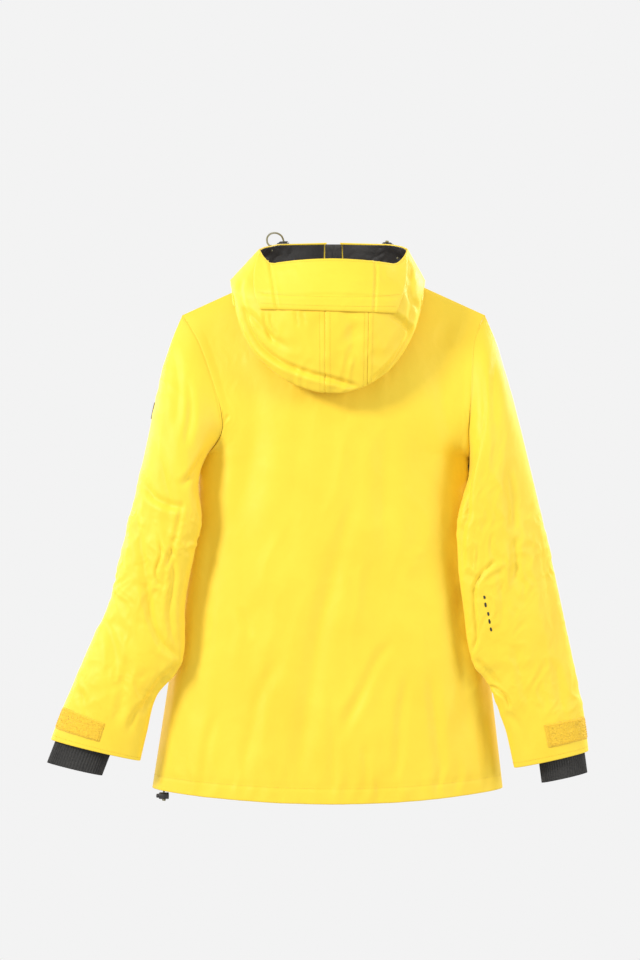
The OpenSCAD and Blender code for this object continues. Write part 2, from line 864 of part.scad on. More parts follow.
sleeve_lining(RIGHT);  // right_sleeve_lining
gaiter(LEFT);  // left_gaiter
gaiter(RIGHT);  // right_gaiter
cuff_patch(LEFT);  // left_cuff_patch
cuff_patch(RIGHT);  // right_cuff_patch
cuff_tab(LEFT);  // left_cuff_tab
cuff_tab(RIGHT);  // right_cuff_tab
arm_badge();
hood_center_panel();
hood_left_panel();
hood_right_panel();
hood_brim();
hood_lining();
color("dimgray") at_front_zip() sliding() slider_body();  // front_zip_slider
color(dark_colour) at_front_zip() sliding() pull_body(front_pull_length);  // front_zip_pull
color("dimgray") at_pocket_zip(LEFT) sliding() slider_body();  // left_pocket_slider
color(dark_colour) at_pocket_zip(LEFT) sliding() pull_body(side_pull_length);  // left_pocket_pull
color("dimgray") at_pocket_zip(RIGHT) sliding() slider_body();  // right_pocket_slider
color(dark_colour) at_pocket_zip(RIGHT) sliding() pull_body(side_pull_length);  // right_pocket_pull
color("dimgray") at_pit_zip(LEFT) sliding() slider_body();  // left_pit_slider
color(dark_colour) at_pit_zip(LEFT) sliding() pull_body(side_pull_length);  // left_pit_pull
color("dimgray") at_pit_zip(RIGHT) sliding() slider_body();  // right_pit_slider
color(dark_colour) at_pit_zip(RIGHT) sliding() pull_body(side_pull_length);  // right_pit_pull
hood_cord(left_cord_points);  // left_hood_cord
hood_cord(right_cord_points);  // right_hood_cord
color(dark_colour) at_left_lock() lock_body();  // left_hood_lock
color(dark_colour) at_left_lock() button_body();  // left_hood_button
color("silver") at_left_lock() spring_body();  // left_hood_spring
color(dark_colour) at_right_lock() lock_body();  // right_hood_lock
color(dark_colour) at_right_lock() button_body();  // right_hood_button
color("silver") at_right_lock() spring_body();  // right_hood_spring
color(dark_colour) at_hem_lock() lock_body();  // hem_lock
color(dark_colour) at_hem_lock() button_body();  // hem_button
color("silver") at_hem_lock() spring_body();  // hem_spring
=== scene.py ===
import json
import math

import bmesh
import bpy
import numpy as np
from mathutils import Matrix, Vector


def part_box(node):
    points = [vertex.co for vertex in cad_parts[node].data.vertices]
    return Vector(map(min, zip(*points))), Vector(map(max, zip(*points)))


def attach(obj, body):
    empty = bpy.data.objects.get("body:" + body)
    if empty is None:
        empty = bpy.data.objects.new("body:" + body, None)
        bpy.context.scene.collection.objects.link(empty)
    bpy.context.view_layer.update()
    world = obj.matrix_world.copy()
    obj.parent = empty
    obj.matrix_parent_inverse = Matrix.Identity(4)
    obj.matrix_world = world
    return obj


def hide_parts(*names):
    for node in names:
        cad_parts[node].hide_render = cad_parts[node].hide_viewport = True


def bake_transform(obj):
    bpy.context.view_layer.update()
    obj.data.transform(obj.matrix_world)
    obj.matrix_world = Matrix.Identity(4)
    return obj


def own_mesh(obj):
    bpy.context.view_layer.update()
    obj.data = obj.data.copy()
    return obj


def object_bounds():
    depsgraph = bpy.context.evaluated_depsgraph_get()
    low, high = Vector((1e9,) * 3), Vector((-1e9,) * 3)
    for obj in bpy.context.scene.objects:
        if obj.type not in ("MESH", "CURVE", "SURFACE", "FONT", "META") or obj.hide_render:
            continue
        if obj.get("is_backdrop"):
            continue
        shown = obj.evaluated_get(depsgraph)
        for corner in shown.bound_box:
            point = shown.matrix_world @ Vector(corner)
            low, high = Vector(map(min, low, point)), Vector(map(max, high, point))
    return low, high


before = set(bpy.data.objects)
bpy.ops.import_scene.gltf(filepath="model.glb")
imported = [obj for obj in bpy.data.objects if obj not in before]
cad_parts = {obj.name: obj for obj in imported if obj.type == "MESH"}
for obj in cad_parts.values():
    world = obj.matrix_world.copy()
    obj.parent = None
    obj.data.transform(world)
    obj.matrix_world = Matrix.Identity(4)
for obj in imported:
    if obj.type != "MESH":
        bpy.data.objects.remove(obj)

cad_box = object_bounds()

# A hooded ski jacket on its hanging point, seen from behind. Lengths are in millimetres up to the
# point where a mesh is made; +Z is up, the front looks to -Y and the wearer's left is +X.

MM = 0.001
LEFT, RIGHT = 1, -1
BACK, FRONT = 1, -1
SIDE_NAME = {LEFT: "left", RIGHT: "right"}


# ---- camera ----------

VIEW_CENTRE = (0.020, -0.3045)
VIEW_HEIGHT = 1.392
VIEW_DISTANCE = 4.5
JACKET_BACK = 0.07
SENSOR = 36.0


def make_camera():
    data = bpy.data.cameras.new("camera")
    data.sensor_width = SENSOR
    data.lens = SENSOR * VIEW_DISTANCE / VIEW_HEIGHT
    data.clip_end = 50
    camera = bpy.data.objects.new("camera", data)
    camera.location = (VIEW_CENTRE[0], JACKET_BACK + VIEW_DISTANCE, VIEW_CENTRE[1])
    camera.rotation_euler = (math.radians(90), 0, math.radians(180))
    bpy.context.collection.objects.link(camera)
    bpy.context.scene.camera = camera


make_camera()


# ---- numbers and curves ----------

def pick(side, pair):
    return pair[0] if side == LEFT else pair[1]


def lerp(a, b, t):
    return a + (b - a) * t


def smoothstep(t):
    t = np.clip(t, 0, 1)
    return t * t * (3 - 2 * t)


def along(path, t):
    """Smooth curve through the points of a path, t from 0 at its start to 1 at its end."""
    path = np.asarray(path, float)
    n = len(path) - 1
    t = np.clip(np.asarray(t, float), 0, 1) * n
    k = np.clip(np.floor(t).astype(int), 0, n - 1)
    f = t - k
    if path.ndim > 1:
        f = f[..., None]
    a, b, c, d = path[np.maximum(k - 1, 0)], path[k], path[k + 1], path[np.minimum(k + 2, n)]
    return 0.5 * (2 * b + (c - a) * f + (2 * a - 5 * b + 4 * c - d) * f * f
                  + (3 * b - a - 3 * c + d) * f ** 3)


def point(x, y, z):
    """Arrays of coordinates as one array of points."""
    x, y, z = np.broadcast_arrays(x, y, z)
    return np.stack([x, y, z], axis=-1).astype(float)


def unit(v):
    return v / np.maximum(np.linalg.norm(v, axis=-1, keepdims=True), 1e-9)


class Noise:
    """Smooth gradient noise on a plane, the same on each run for the same seed."""

    SIZE = 256

    def __init__(self, seed):
        angles = np.random.default_rng(seed).uniform(0, 2 * math.pi, (self.SIZE, self.SIZE))
        self.gradient = np.stack([np.cos(angles), np.sin(angles)], axis=-1)

    def __call__(self, x, y):
        x, y = np.broadcast_arrays(np.asarray(x, float), np.asarray(y, float))
        i, j = np.floor(x).astype(int), np.floor(y).astype(int)
        fx, fy = x - i, y - j
        total = 0
        for di in (0, 1):
            for dj in (0, 1):
                g = self.gradient[(i + di) % self.SIZE, (j + dj) % self.SIZE]
                dot = g[..., 0] * (fx - di) + g[..., 1] * (fy - dj)
                weight = smoothstep(1 - np.abs(fx - di)) * smoothstep(1 - np.abs(fy - dj))
                total = total + dot * weight
        return total * 1.5


broad_noise, fine_noise, warp_noise = Noise(11), Noise(12), Noise(13)

EDGE_STEPS = np.array([0, 0.6, 1.4, 2.6, 4.2])


def edged(a, b, count, length):
    """Parameters from a to b, dense at both ends, for a grid that is that many mm long."""
    ends = EDGE_STEPS / length
    middle = np.linspace(ends[-1], 1 - ends[-1], max(count, 3))[1:-1]
    return lerp(a, b, np.concatenate([ends, middle, 1 - ends[::-1]]))


# ---- meshes ----------

def outward(grid):
    """Normals of a grid whose columns cross its rows to point outward."""
    return unit(np.cross(np.gradient(grid, axis=1), np.gradient(grid, axis=0)))


def arc_uv(grid):
    """Where each point lies on the flat cloth, in metres, along the columns and the rows."""
    across = np.linalg.norm(np.diff(grid, axis=1), axis=-1)
    down = np.linalg.norm(np.diff(grid, axis=0), axis=-1)
    u = np.concatenate([np.zeros((grid.shape[0], 1)), np.cumsum(across, axis=1)], axis=1)
    v = np.concatenate([np.zeros((1, grid.shape[1])), np.cumsum(down, axis=0)], axis=0)
    u = u - u[:, u.shape[1] // 2][:, None]
    return np.stack([u, v], axis=-1) * MM


def node_box(node):
    """Lowest and highest corner of a CAD node, in mm."""
    return (np.array(corner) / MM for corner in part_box(node))


def bind(piece, slot, node=None, body=None):
    """Hides the CAD node that a piece stands for and attaches the piece to its body; the slot is
    not used.
    """
    if body:
        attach(piece, body)
    if node:
        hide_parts(node)


def add_object(name, mesh, material):
    mesh.materials.append(material)
    obj = bpy.data.objects.new(name, mesh)
    bpy.context.collection.objects.link(obj)
    return obj


def quad_object(name, points, quads, material, uv=None, flat=None):
    """Object of quads from arrays; faces named in flat keep sharp edges."""
    mesh = bpy.data.meshes.new(name)
    mesh.vertices.add(len(points))
    mesh.vertices.foreach_set("co", (points * MM).astype(np.float32).ravel())
    mesh.loops.add(quads.size)
    mesh.loops.foreach_set("vertex_index", quads.ravel().astype(np.int32))
    mesh.polygons.add(len(quads))
    mesh.polygons.foreach_set("loop_start", np.arange(0, quads.size, 4, dtype=np.int32))
    smooth = np.ones(len(quads), bool)
    if flat is not None:
        smooth[flat] = False
    mesh.polygons.foreach_set("use_smooth", smooth)
    if uv is not None:
        layer = mesh.uv_layers.new(name="weave")
        layer.data.foreach_set("uv", uv[quads.ravel()].astype(np.float32).ravel())
    mesh.update(calc_edges=True)
    mesh.validate()
    return add_object(name, mesh, material)


def grid_quads(rows, cols, wrap=False):
    index = np.arange(rows * cols).reshape(rows, cols)
    if wrap:
        index = np.concatenate([index, index[:, :1]], axis=1)
    a, d = index[:-1, :-1], index[:-1, 1:]
    b, c = index[1:, :-1], index[1:, 1:]
    return np.stack([a, d, c, b], axis=-1).reshape(-1, 4)


WEDGE_SHARE = 0.35
NARROWEST_SHEET = 0.0101


def cut_size(grid):
    """Width, length and area in metres of a grid of cloth, measured on its finished shape.
    A wedge with less than WEDGE_SHARE of its width times length is stated narrower than it is."""
    across, down = np.diff(grid, axis=1), np.diff(grid, axis=0)
    width = np.linalg.norm(across, axis=-1).sum(axis=1).max() * MM
    length = np.linalg.norm(down, axis=-1).sum(axis=0).max() * MM
    area = np.linalg.norm(np.cross(across[:-1], down[:, :-1]), axis=-1).sum() * MM ** 2
    width = min(width, area / (WEDGE_SHARE * length))
    return float(width), float(length), float(min(area, width * length))


def left_turned(side, grid):
    """Grid whose columns run the other way on the left, so that its outside stays outside."""
    return grid[:, ::-1] if side == LEFT else grid


def sheet_object(name, grid, thickness, material, lift=0.0, wrap=False):
    """Closed sheet of cloth over a grid of points, its outer face lift mm outside the grid."""
    rows, cols = grid.shape[:2]
    if wrap:
        padded = np.concatenate([grid[:, -1:], grid, grid[:, :1]], axis=1)
        normal = outward(padded)[:, 1:-1]
    else:
        normal = outward(grid)
    outer = grid + normal * lift
    inner = outer - normal * thickness
    count = rows * cols
    top = grid_quads(rows, cols, wrap)
    low = top[:, ::-1] + count
    index = np.arange(count).reshape(rows, cols)
    if wrap:
        rims = [np.append(index[0], index[0, 0]), np.append(index[-1], index[-1, 0])[::-1]]
    else:
        rims = [np.concatenate([index[0, :-1], index[:-1, -1], index[-1, :0:-1], index[:0:-1, 0],
                                index[0, :1]])]
    edge = np.concatenate([np.stack([r[1:], r[:-1], r[:-1] + count, r[1:] + count], axis=-1)
                           for r in rims])
    quads = np.concatenate([top, low, edge])
    uv = np.tile(arc_uv(grid).reshape(-1, 2), (2, 1))
    flat = np.arange(len(top) + len(low), len(quads))
    points = np.concatenate([outer.reshape(-1, 3), inner.reshape(-1, 3)])
    piece = quad_object(name, points, quads, material, uv, flat)
    width, length, area = cut_size(np.concatenate([grid, grid[:, :1]], axis=1) if wrap else grid)
    min(width, length) > NARROWEST_SHEET
    return piece


def instanced(name, template, faces, places, material):
    """One object holding a copy of a template at each place, a list of 4 x 4 arrays."""
    places = np.asarray(places, float)
    homogeneous = np.concatenate([template, np.ones((len(template), 1))], axis=1)
    points = np.einsum("nij,vj->nvi", places, homogeneous)[..., :3].reshape(-1, 3)
    shift = (np.arange(len(places)) * len(template))[:, None, None]
    quads = (faces[None] + shift).reshape(-1, 4)
    return quad_object(name, points, quads, material)


def frame_at(origin, x_axis, z_axis, scale=(1, 1, 1)):
    """4 x 4 array that puts a template at a point, its x along one axis and z near another."""
    x_axis = unit(np.asarray(x_axis, float))
    y_axis = unit(np.cross(z_axis, x_axis))
    z_axis = np.cross(x_axis, y_axis)
    place = np.eye(4)
    place[:3, 0], place[:3, 1], place[:3, 2] = (x_axis * scale[0], y_axis * scale[1],
                                                z_axis * scale[2])
    place[:3, 3] = origin
    return place


def pill(length, radius, rings=4, sides=6):
    """Rounded stick along x, centred, as points and quads; its ends close to a small ring."""
    t = np.linspace(-1, 1, rings + 1)
    profile = radius * np.sqrt(np.clip(1 - np.abs(t) ** 3, 0.02, 1))
    turn = np.arange(sides) * 2 * math.pi / sides
    grid = point(t[:, None] * length / 2, profile[:, None] * np.cos(turn),
                 profile[:, None] * np.sin(turn))
    return grid.reshape(-1, 3), grid_quads(rings + 1, sides, wrap=True)[:, ::-1]


def closed_object(name, points, faces, material, flat_ends=0):
    """Object of a closed surface from points in mm, its normals turned outward.
    All its faces are flat, or with flat_ends only that many of the last ones."""
    mesh = bpy.data.meshes.new(name)
    mesh.from_pydata((np.asarray(points, float) * MM).tolist(), [], faces)
    if flat_ends:
        smooth = [True] * (len(faces) - flat_ends) + [False] * flat_ends
        mesh.polygons.foreach_set("use_smooth", smooth)
    mesh.update()
    bm = bmesh.new()
    bm.from_mesh(mesh)
    bmesh.ops.recalc_face_normals(bm, faces=bm.faces)
    bm.to_mesh(mesh)
    bm.free()
    return add_object(name, mesh, material)


def tube(name, path, radius, material, sides=12):
    """Closed tube along a path of points."""
    path = np.asarray(path, float)
    ahead = unit(np.gradient(path, axis=0))
    reference = np.array([0.31, 0.2, 0.93])
    u = unit(np.cross(ahead, reference))
    v = np.cross(ahead, u)
    turn = np.arange(sides) * 2 * math.pi / sides
    radius = np.broadcast_to(radius, len(path))[:, None, None]
    rings = path[:, None] + radius * (u[:, None] * np.cos(turn)[None, :, None]
                                      + v[:, None] * np.sin(turn)[None, :, None])
    quads = grid_quads(len(path), sides, wrap=True)[:, ::-1]
    last = (len(path) - 1) * sides
    ends = [list(range(sides)), [last + k for k in range(sides - 1, -1, -1)]]
    return closed_object(name, rings.reshape(-1, 3), quads.tolist() + ends, material, len(ends))


def applied(obj, *modifiers):
    """Applies modifiers, each a kind with its settings, and returns the object."""
    for kind, settings in modifiers:
        modifier = obj.modifiers.new(kind.lower(), kind)
        for key, value in settings.items():
            setattr(modifier, key, value)
    bpy.context.view_layer.update()
    depsgraph = bpy.context.evaluated_depsgraph_get()
    mesh = bpy.data.meshes.new_from_object(obj.evaluated_get(depsgraph))
    obj.modifiers.clear()
    old = obj.data
    obj.data = mesh
    bpy.data.meshes.remove(old)
    return obj


# ---- folds ----------

PATH_SAMPLES = 28


def distance_to(path, x, z):
    """Distance to a smooth path in the XZ plane, which side it is on, and how far along."""
    line = along(path, np.linspace(0, 1, PATH_SAMPLES))
    best = np.full(np.shape(x), 1e9)
    signed, share = np.zeros(np.shape(x)), np.zeros(np.shape(x))
    for k in range(PATH_SAMPLES - 1):
        a, b = line[k], line[k + 1]
        ab = b - a
        f = np.clip(((x - a[0]) * ab[0] + (z - a[1]) * ab[1]) / max(ab @ ab, 1e-9), 0, 1)
        dx, dz = x - a[0] - f * ab[0], z - a[1] - f * ab[1]
        d = np.hypot(dx, dz)
        nearer = d < best
        best = np.where(nearer, d, best)
        signed = np.where(nearer, d * np.sign(ab[0] * dz - ab[1] * dx), signed)
        share = np.where(nearer, (k + f) / (PATH_SAMPLES - 1), share)
    return best, signed, share


def fold(x, z, path, depth, width, crisp=0.0, lean=0.0, taper=0.3):
    """Height of a fold: a valley with raised shoulders, sharper when crisp, tilted by lean."""
    d, signed, share = distance_to(path, x, z)
    q = (d / width) ** 2
    valley = (1 - 1.2 * q) * np.exp(-q)
    sharp = 1.3 * np.exp(-d / (0.45 * width)) - 0.45 * np.exp(-(d / width - 0.9) ** 2 * 5)
    slope = 1.7 * signed / width * np.exp(-np.abs(signed) / width * 1.3)
    fade = smoothstep(share / taper) * smoothstep((1 - share) / taper)
    shape = lerp(valley, sharp, crisp) * (1 - abs(lean)) - slope * lean
    return -depth * fade * shape


def folds(x, z, rows, gain=1.0):
    return gain * sum(fold(x, z, *row) for row in rows)


EASING_PASSES = 120


def eased(grid, keep):
    """Grid with its depth evened out down the rows, less where keep is near 0."""
    depth = grid[..., 1].copy()
    for _ in range(EASING_PASSES):
        depth[1:-1] = (depth[:-2] + 2 * depth[1:-1] + depth[2:]) / 4
    grid = grid.copy()
    grid[..., 1] = lerp(grid[..., 1], depth, keep)
    return grid


def crumple(x, z, size, stretch, depth, seed_shift=0.0):
    """Random wrinkles, mostly smooth with some sharp ridges, stretched along z."""
    wx = x / size + 1.1 * warp_noise(x / (2.3 * size) + seed_shift, z / (2.3 * size))
    wz = z / (size * stretch) + 0.8 * warp_noise(x / (3 * size), z / (3 * size) + seed_shift)
    ridge = 1 - np.sqrt(fine_noise(wx, wz) ** 2 + 0.003) * 2.6
    patchy = smoothstep(broad_noise(wx / 2.7 + 4, wz / 2.7) * 1.6 + 0.45)
    return depth * np.clip(ridge, -0.6, 1) * lerp(0.25, 1.25, patchy)


def moved(grid, height):
    """Grid displaced by a height in mm along its normals."""
    return grid + outward(grid) * height[..., None]


ROLL = np.array([1.0, 0.5, 0.2, 0.05])


def rolled(grid, top=0.0, bottom=0.0, first=0.0, last=0.0):
    """Turns the edges of a grid inwards by some mm, as a sewn seam does."""
    rows, cols = grid.shape[:2]
    drop = np.zeros((rows, cols))
    for k, share in enumerate(ROLL):
        drop[k] = np.maximum(drop[k], top * share)
        drop[-1 - k] = np.maximum(drop[-1 - k], bottom * share)
    for k, share in enumerate(ROLL):
        drop[:, k] = np.maximum(drop[:, k], first * share)
        drop[:, -1 - k] = np.maximum(drop[:, -1 - k], last * share)
    return grid - outward(grid) * drop[..., None]


def hemmed(grid, depth):
    return rolled(grid, depth, depth, depth, depth)


# ---- materials ----------

class Shader:
    """A node material with a Principled surface, built up by short calls."""

    def __init__(self, name, colour, roughness, **settings):
        self.material = bpy.data.materials.new(name)
        self.material.use_nodes = True
        self.tree = self.material.node_tree
        self.surface = self.tree.nodes["Principled BSDF"]
        self.surface.inputs["Base Color"].default_value = (*colour, 1)
        self.surface.inputs["Roughness"].default_value = roughness
        for key, value in settings.items():
            self.surface.inputs[key.replace("_", " ")].default_value = value
        self.colour = colour

    def add(self, kind, **values):
        made = self.tree.nodes.new(kind)
        for key, value in values.items():
            if hasattr(made, key):
                setattr(made, key, value)
            else:
                made.inputs[key.replace("_", " ")].default_value = value
        return made

    def link(self, source, target):
        self.tree.links.new(source, target)

    def cloth_place(self):
        """Coordinates on the flat cloth, in metres."""
        return self.add("ShaderNodeUVMap", uv_map="weave").outputs[0]

    def space_place(self):
        return self.add("ShaderNodeTexCoord").outputs["Object"]

    def noise(self, place, scale, detail=3.0, roughness=0.5):
        made = self.add("ShaderNodeTexNoise", Scale=scale, Detail=detail, Roughness=roughness)
        self.link(place, made.inputs["Vector"])
        return made.outputs["Fac"]

    def math(self, operation, a, b):
        made = self.add("ShaderNodeMath", operation=operation)
        for slot, value in enumerate((a, b)):
            if isinstance(value, (int, float)):
                made.inputs[slot].default_value = value
            else:
                self.link(value, made.inputs[slot])
        return made.outputs[0]

    def vary_colour(self, factor, other, low=0.35, high=0.65):
        """Colour that runs from the base colour to another as a factor rises."""
        ramp = self.add("ShaderNodeValToRGB")
        ramp.color_ramp.elements[0].position = low
        ramp.color_ramp.elements[0].color = (*self.colour, 1)
        ramp.color_ramp.elements[1].position = high
        ramp.color_ramp.elements[1].color = (*other, 1)
        self.link(factor, ramp.inputs[0])
        self.link(ramp.outputs[0], self.surface.inputs["Base Color"])
        return ramp.outputs[0]

    def vary_roughness(self, factor, low, high):
        span = self.add("ShaderNodeMapRange", To_Min=low, To_Max=high)
        self.link(factor, span.inputs["Value"])
        self.link(span.outputs[0], self.surface.inputs["Roughness"])

    def bump(self, height, strength, distance, under=None):
        made = self.add("ShaderNodeBump", Strength=strength, Distance=distance)
        self.link(height, made.inputs["Height"])
        if under is not None:
            self.link(under, made.inputs["Normal"])
        self.link(made.outputs[0], self.surface.inputs["Normal"])
        return made.outputs[0]

    def weave(self, place, pitch):
        """Height of a plain weave: threads that cross and pass over each other."""
        split = self.add("ShaderNodeSeparateXYZ")
        self.link(place, split.inputs[0])
        waves = [self.math("SINE", self.math("MULTIPLY", split.outputs[k], math.pi / pitch), 0)
                 for k in (0, 1)]
        return self.math("MULTIPLY", waves[0], waves[1])

    def ribs(self, place, pitch, axis=0):
        split = self.add("ShaderNodeSeparateXYZ")
        self.link(place, split.inputs[0])
        return self.math("SINE", self.math("MULTIPLY", split.outputs[axis],
                                           2 * math.pi / pitch), 0)


SHELL_PITCH, TAFFETA_PITCH = 0.0009, 0.0007


def shell_fabric(name, colour, deep):
    """Waterproof shell cloth: plain weave, faint creasing and a soft sheen."""
    s = Shader(name, colour, 0.52, Sheen_Weight=0.12, Sheen_Roughness=0.45,
               Specular_IOR_Level=0.35)
    cloth = s.cloth_place()
    s.vary_colour(s.noise(cloth, 9, 4), deep, 0.3, 0.75)
    s.vary_roughness(s.noise(cloth, 60, 2), 0.44, 0.6)
    crease = s.bump(s.noise(cloth, 48, 5, 0.62), 0.3, 0.0014)
    s.bump(s.weave(cloth, SHELL_PITCH), 0.3, 0.00014, under=crease)
    return s.material


def dark_taffeta(name, colour, deep):
    s = Shader(name, colour, 0.45, Sheen_Weight=0.06, Sheen_Roughness=0.4,
               Specular_IOR_Level=0.3)
    cloth = s.cloth_place()
    s.vary_colour(s.noise(cloth, 14, 3), deep)
    crease = s.bump(s.noise(cloth, 30, 4, 0.6), 0.5, 0.002)
    s.bump(s.weave(cloth, TAFFETA_PITCH), 0.35, 0.0001, under=crease)
    return s.material


def loop_pile(name, colour, deep):
    s = Shader(name, colour, 0.85, Sheen_Weight=0.2, Sheen_Roughness=0.6,
               Specular_IOR_Level=0.15)
    place = s.space_place()
    s.vary_colour(s.noise(place, 900, 3), deep, 0.3, 0.7)
    s.bump(s.noise(place, 1400, 4, 0.7), 0.8, 0.0009)
    return s.material


def knit(name, colour, deep):
    s = Shader(name, colour, 0.8, Sheen_Weight=0.08, Sheen_Roughness=0.5,
               Specular_IOR_Level=0.25)
    place = s.space_place()
    s.vary_colour(s.noise(place, 500, 3), deep)
    s.bump(s.noise(place, 1500, 3, 0.6), 0.6, 0.0004)
    return s.material


def woven_tape(name, colour, deep, pitch=0.0012):
    s = Shader(name, colour, 0.6, Sheen_Weight=0.2, Specular_IOR_Level=0.35)
    place = s.space_place()
    s.vary_colour(s.noise(place, 260, 3), deep)
    s.bump(s.ribs(place, pitch, 2), 0.5, 0.0002)
    return s.material


def moulded_plastic(name, colour, deep, roughness=0.38):
    s = Shader(name, colour, roughness, Specular_IOR_Level=0.5)
    place = s.space_place()
    s.vary_colour(s.noise(place, 120, 4), deep)
    s.vary_roughness(s.noise(place, 300, 3), roughness - 0.08, roughness + 0.14)
    s.bump(s.noise(place, 1600, 3), 0.25, 0.0002)
    return s.material


def painted_metal(name, colour, deep):
    s = Shader(name, colour, 0.34, Metallic=0.6, Coat_Weight=0.25)
    place = s.space_place()
    s.vary_colour(s.noise(place, 700, 5, 0.7), deep, 0.55, 0.8)
    s.vary_roughness(s.noise(place, 400, 3), 0.26, 0.5)
    return s.material


def braided_cord(name, colour, deep):
    s = Shader(name, colour, 0.7, Sheen_Weight=0.3, Specular_IOR_Level=0.3)
    place = s.space_place()
    s.vary_colour(s.noise(place, 800, 3), deep)
    braid = s.add("ShaderNodeTexVoronoi", Scale=900)
    s.link(place, braid.inputs["Vector"])
    s.bump(braid.outputs["Distance"], 0.7, 0.0004)
    return s.material


def spring_wire(name):
    s = Shader(name, (0.55, 0.55, 0.56), 0.3, Metallic=1.0)
    s.vary_roughness(s.noise(s.space_place(), 900, 3), 0.22, 0.42)
    return s.material


YELLOW = (0.94, 0.69, 0.047)
YELLOW_DEEP = (0.92, 0.63, 0.036)
INK = (0.017, 0.015, 0.014)
INK_LIFTED = (0.030, 0.026, 0.024)

SHELL = shell_fabric("shell_fabric", YELLOW, YELLOW_DEEP)
THREAD = woven_tape("yellow_thread", (0.86, 0.60, 0.03), (0.80, 0.52, 0.02), 0.0006)
LINING = dark_taffeta("dark_taffeta", INK, INK_LIFTED)
PILE = loop_pile("loop_pile", (0.90, 0.53, 0.030), (0.95, 0.63, 0.045))
KNIT = knit("ribbed_knit", (0.030, 0.029, 0.028), (0.05, 0.048, 0.045))
WEBBING = woven_tape("webbing", (0.02, 0.019, 0.018), (0.04, 0.038, 0.036))
ZIP_TAPE = woven_tape("zip_tape", (0.025, 0.024, 0.023), (0.045, 0.043, 0.04), 0.0009)
COIL = moulded_plastic("zip_coil", (0.022, 0.021, 0.02), (0.04, 0.038, 0.036), 0.3)
PLASTIC = moulded_plastic("moulded_plastic", (0.016, 0.015, 0.015), (0.032, 0.03, 0.029))
RUBBER = moulded_plastic("soft_pull", (0.02, 0.019, 0.018), (0.034, 0.032, 0.03), 0.6)
METAL = painted_metal("painted_zinc", (0.05, 0.048, 0.045), (0.16, 0.155, 0.15))
CORD = braided_cord("braided_cord", (0.16, 0.145, 0.075), (0.26, 0.24, 0.13))
STEEL = spring_wire("spring_wire")


# ---- cords ----------

CORD_D = 2.8
HEM_TAIL = (248.7, 23.3)
TAIL_TOP, TAIL_END = -743, -774    # the top is inside the channel, 1 mm above the CAD tail's
CORD_ROUTES = {
    LEFT: [(91, -20, 34), (94, -22, 41), (98, -24, 47), (98, -28, 55), (93, -36, 61), (85, -48, 63),
           (78, -58, 60), (74.8, -63.6, 54), (74, -64, 47), (74, -64, 40), (74, -64, 36)],
    RIGHT: [(-94, -17, 24), (-101, -22, 20), (-105, -26, 16), (-106, -34, 6), (-101, -44, -2),
            (-92, -53, -2), (-84, -57, 8), (-80, -58, 22), (-80, -58, 34), (-80, -58, 44),
            (-80, -58, 51)],
}


EYELET_R, EYELET_WIRE_R = 2.7, 0.9
KNOT_R, KNOT_STRAND_R = 1.5, 1.35


def make_eyelet(name, centre, axis):
    """Metal ring round the hole in the collar that the cord comes out of."""
    axis = unit(axis)
    u = unit(np.cross(axis, [0.2, 0.1, 1]))
    v = np.cross(axis, u)
    turn = np.linspace(0, 2 * math.pi, 41)[:, None]
    ring = tube(f"{name}_cord_eyelet",
                centre + EYELET_R * (u * np.cos(turn) + v * np.sin(turn)), EYELET_WIRE_R,
                METAL, sides=10)
    bind(ring, "hardware", body="jacket")


def make_knot(name, end):
    turn = np.linspace(0, 2 * math.pi, 25)
    coil = point(end[0] + KNOT_R * np.cos(turn), end[1] + KNOT_R * np.sin(turn),
                 end[2] + 0.35 * np.sin(2 * turn))
    return tube(name, coil, KNOT_STRAND_R, CORD, sides=10)


def make_cord(side):
    """Elastic cord of the hood: out of the collar, in a loop, and through its lock to a knot."""
    name = SIDE_NAME[side]
    path = along(CORD_ROUTES[side], np.linspace(0, 1, 61))
    cord = tube(f"{name}_cord", path, CORD_D / 2, CORD, sides=14)
    make_eyelet(name, np.array(CORD_ROUTES[side][1], float), path[8] - path[3])
    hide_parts(f"{name}_hood_cord")
    declare_cord(cord, make_knot(f"{name}_cord_knot", path[-1]))


def declare_cord(cord, knot):
    for piece in (cord, knot):
        bind(piece, "cord", body="jacket")


def make_hem_tail():
    """Tail of the hem drawcord, out of its channel and through the lock to a knot."""
    path = point(*HEM_TAIL, np.linspace(TAIL_TOP, TAIL_END, 17))
    tail = tube("hem_cord_tail", path, CORD_D / 2, CORD, sides=14)
    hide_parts("hem_drawcord")
    declare_cord(tail, make_knot("hem_tail_knot", path[-1] + [0, 0, 1]))


for side in (LEFT, RIGHT):
    make_cord(side)
make_hem_tail()


# ---- shape of the torso ----------

SHOULDER = 223
SHOULDER_DROP = 62
NECK_HALF = 87
ARMPIT_DROP = 272
CHEST_HALF = 200
HEM_HALF = (267, 249)
SIDE_LENGTH = 757
HEM_DIP = 18
BACK_DEPTH = 70
FRONT_DEPTH = 62
SHELL_T = 1.6
LINING_T = 1.0
THIN_LINING_T = 0.4
SEAM_GAP = 0.5
ROUND_POWER = 2.4

ARMHOLE_X = {
    (LEFT, BACK): [0, -24, -44, -58, -60, -44], (LEFT, FRONT): [0, -19, -32, -34, -30, -23],
    (RIGHT, BACK): [0, -18, -22, -24, -26, -24], (RIGHT, FRONT): [0, -17, -24, -26, -24, -20],
}
ARMHOLE_Y = {BACK: [0, 24, 40, 48, 44, 28], FRONT: [0, -22, -34, -36, -28, -14]}
ARMHOLE_Z = [0, 36, 88, 138, 172, 198]


def armhole(side, face):
    """Edge of the armhole from the shoulder point to the underarm, on the back or the front."""
    rows = zip(ARMHOLE_X[side, face], ARMHOLE_Y[face], ARMHOLE_Z)
    return np.array([[side * (SHOULDER + x), y, -SHOULDER_DROP - z] for x, y, z in rows]
                    + [[side * CHEST_HALF, 0, -ARMPIT_DROP]], float)


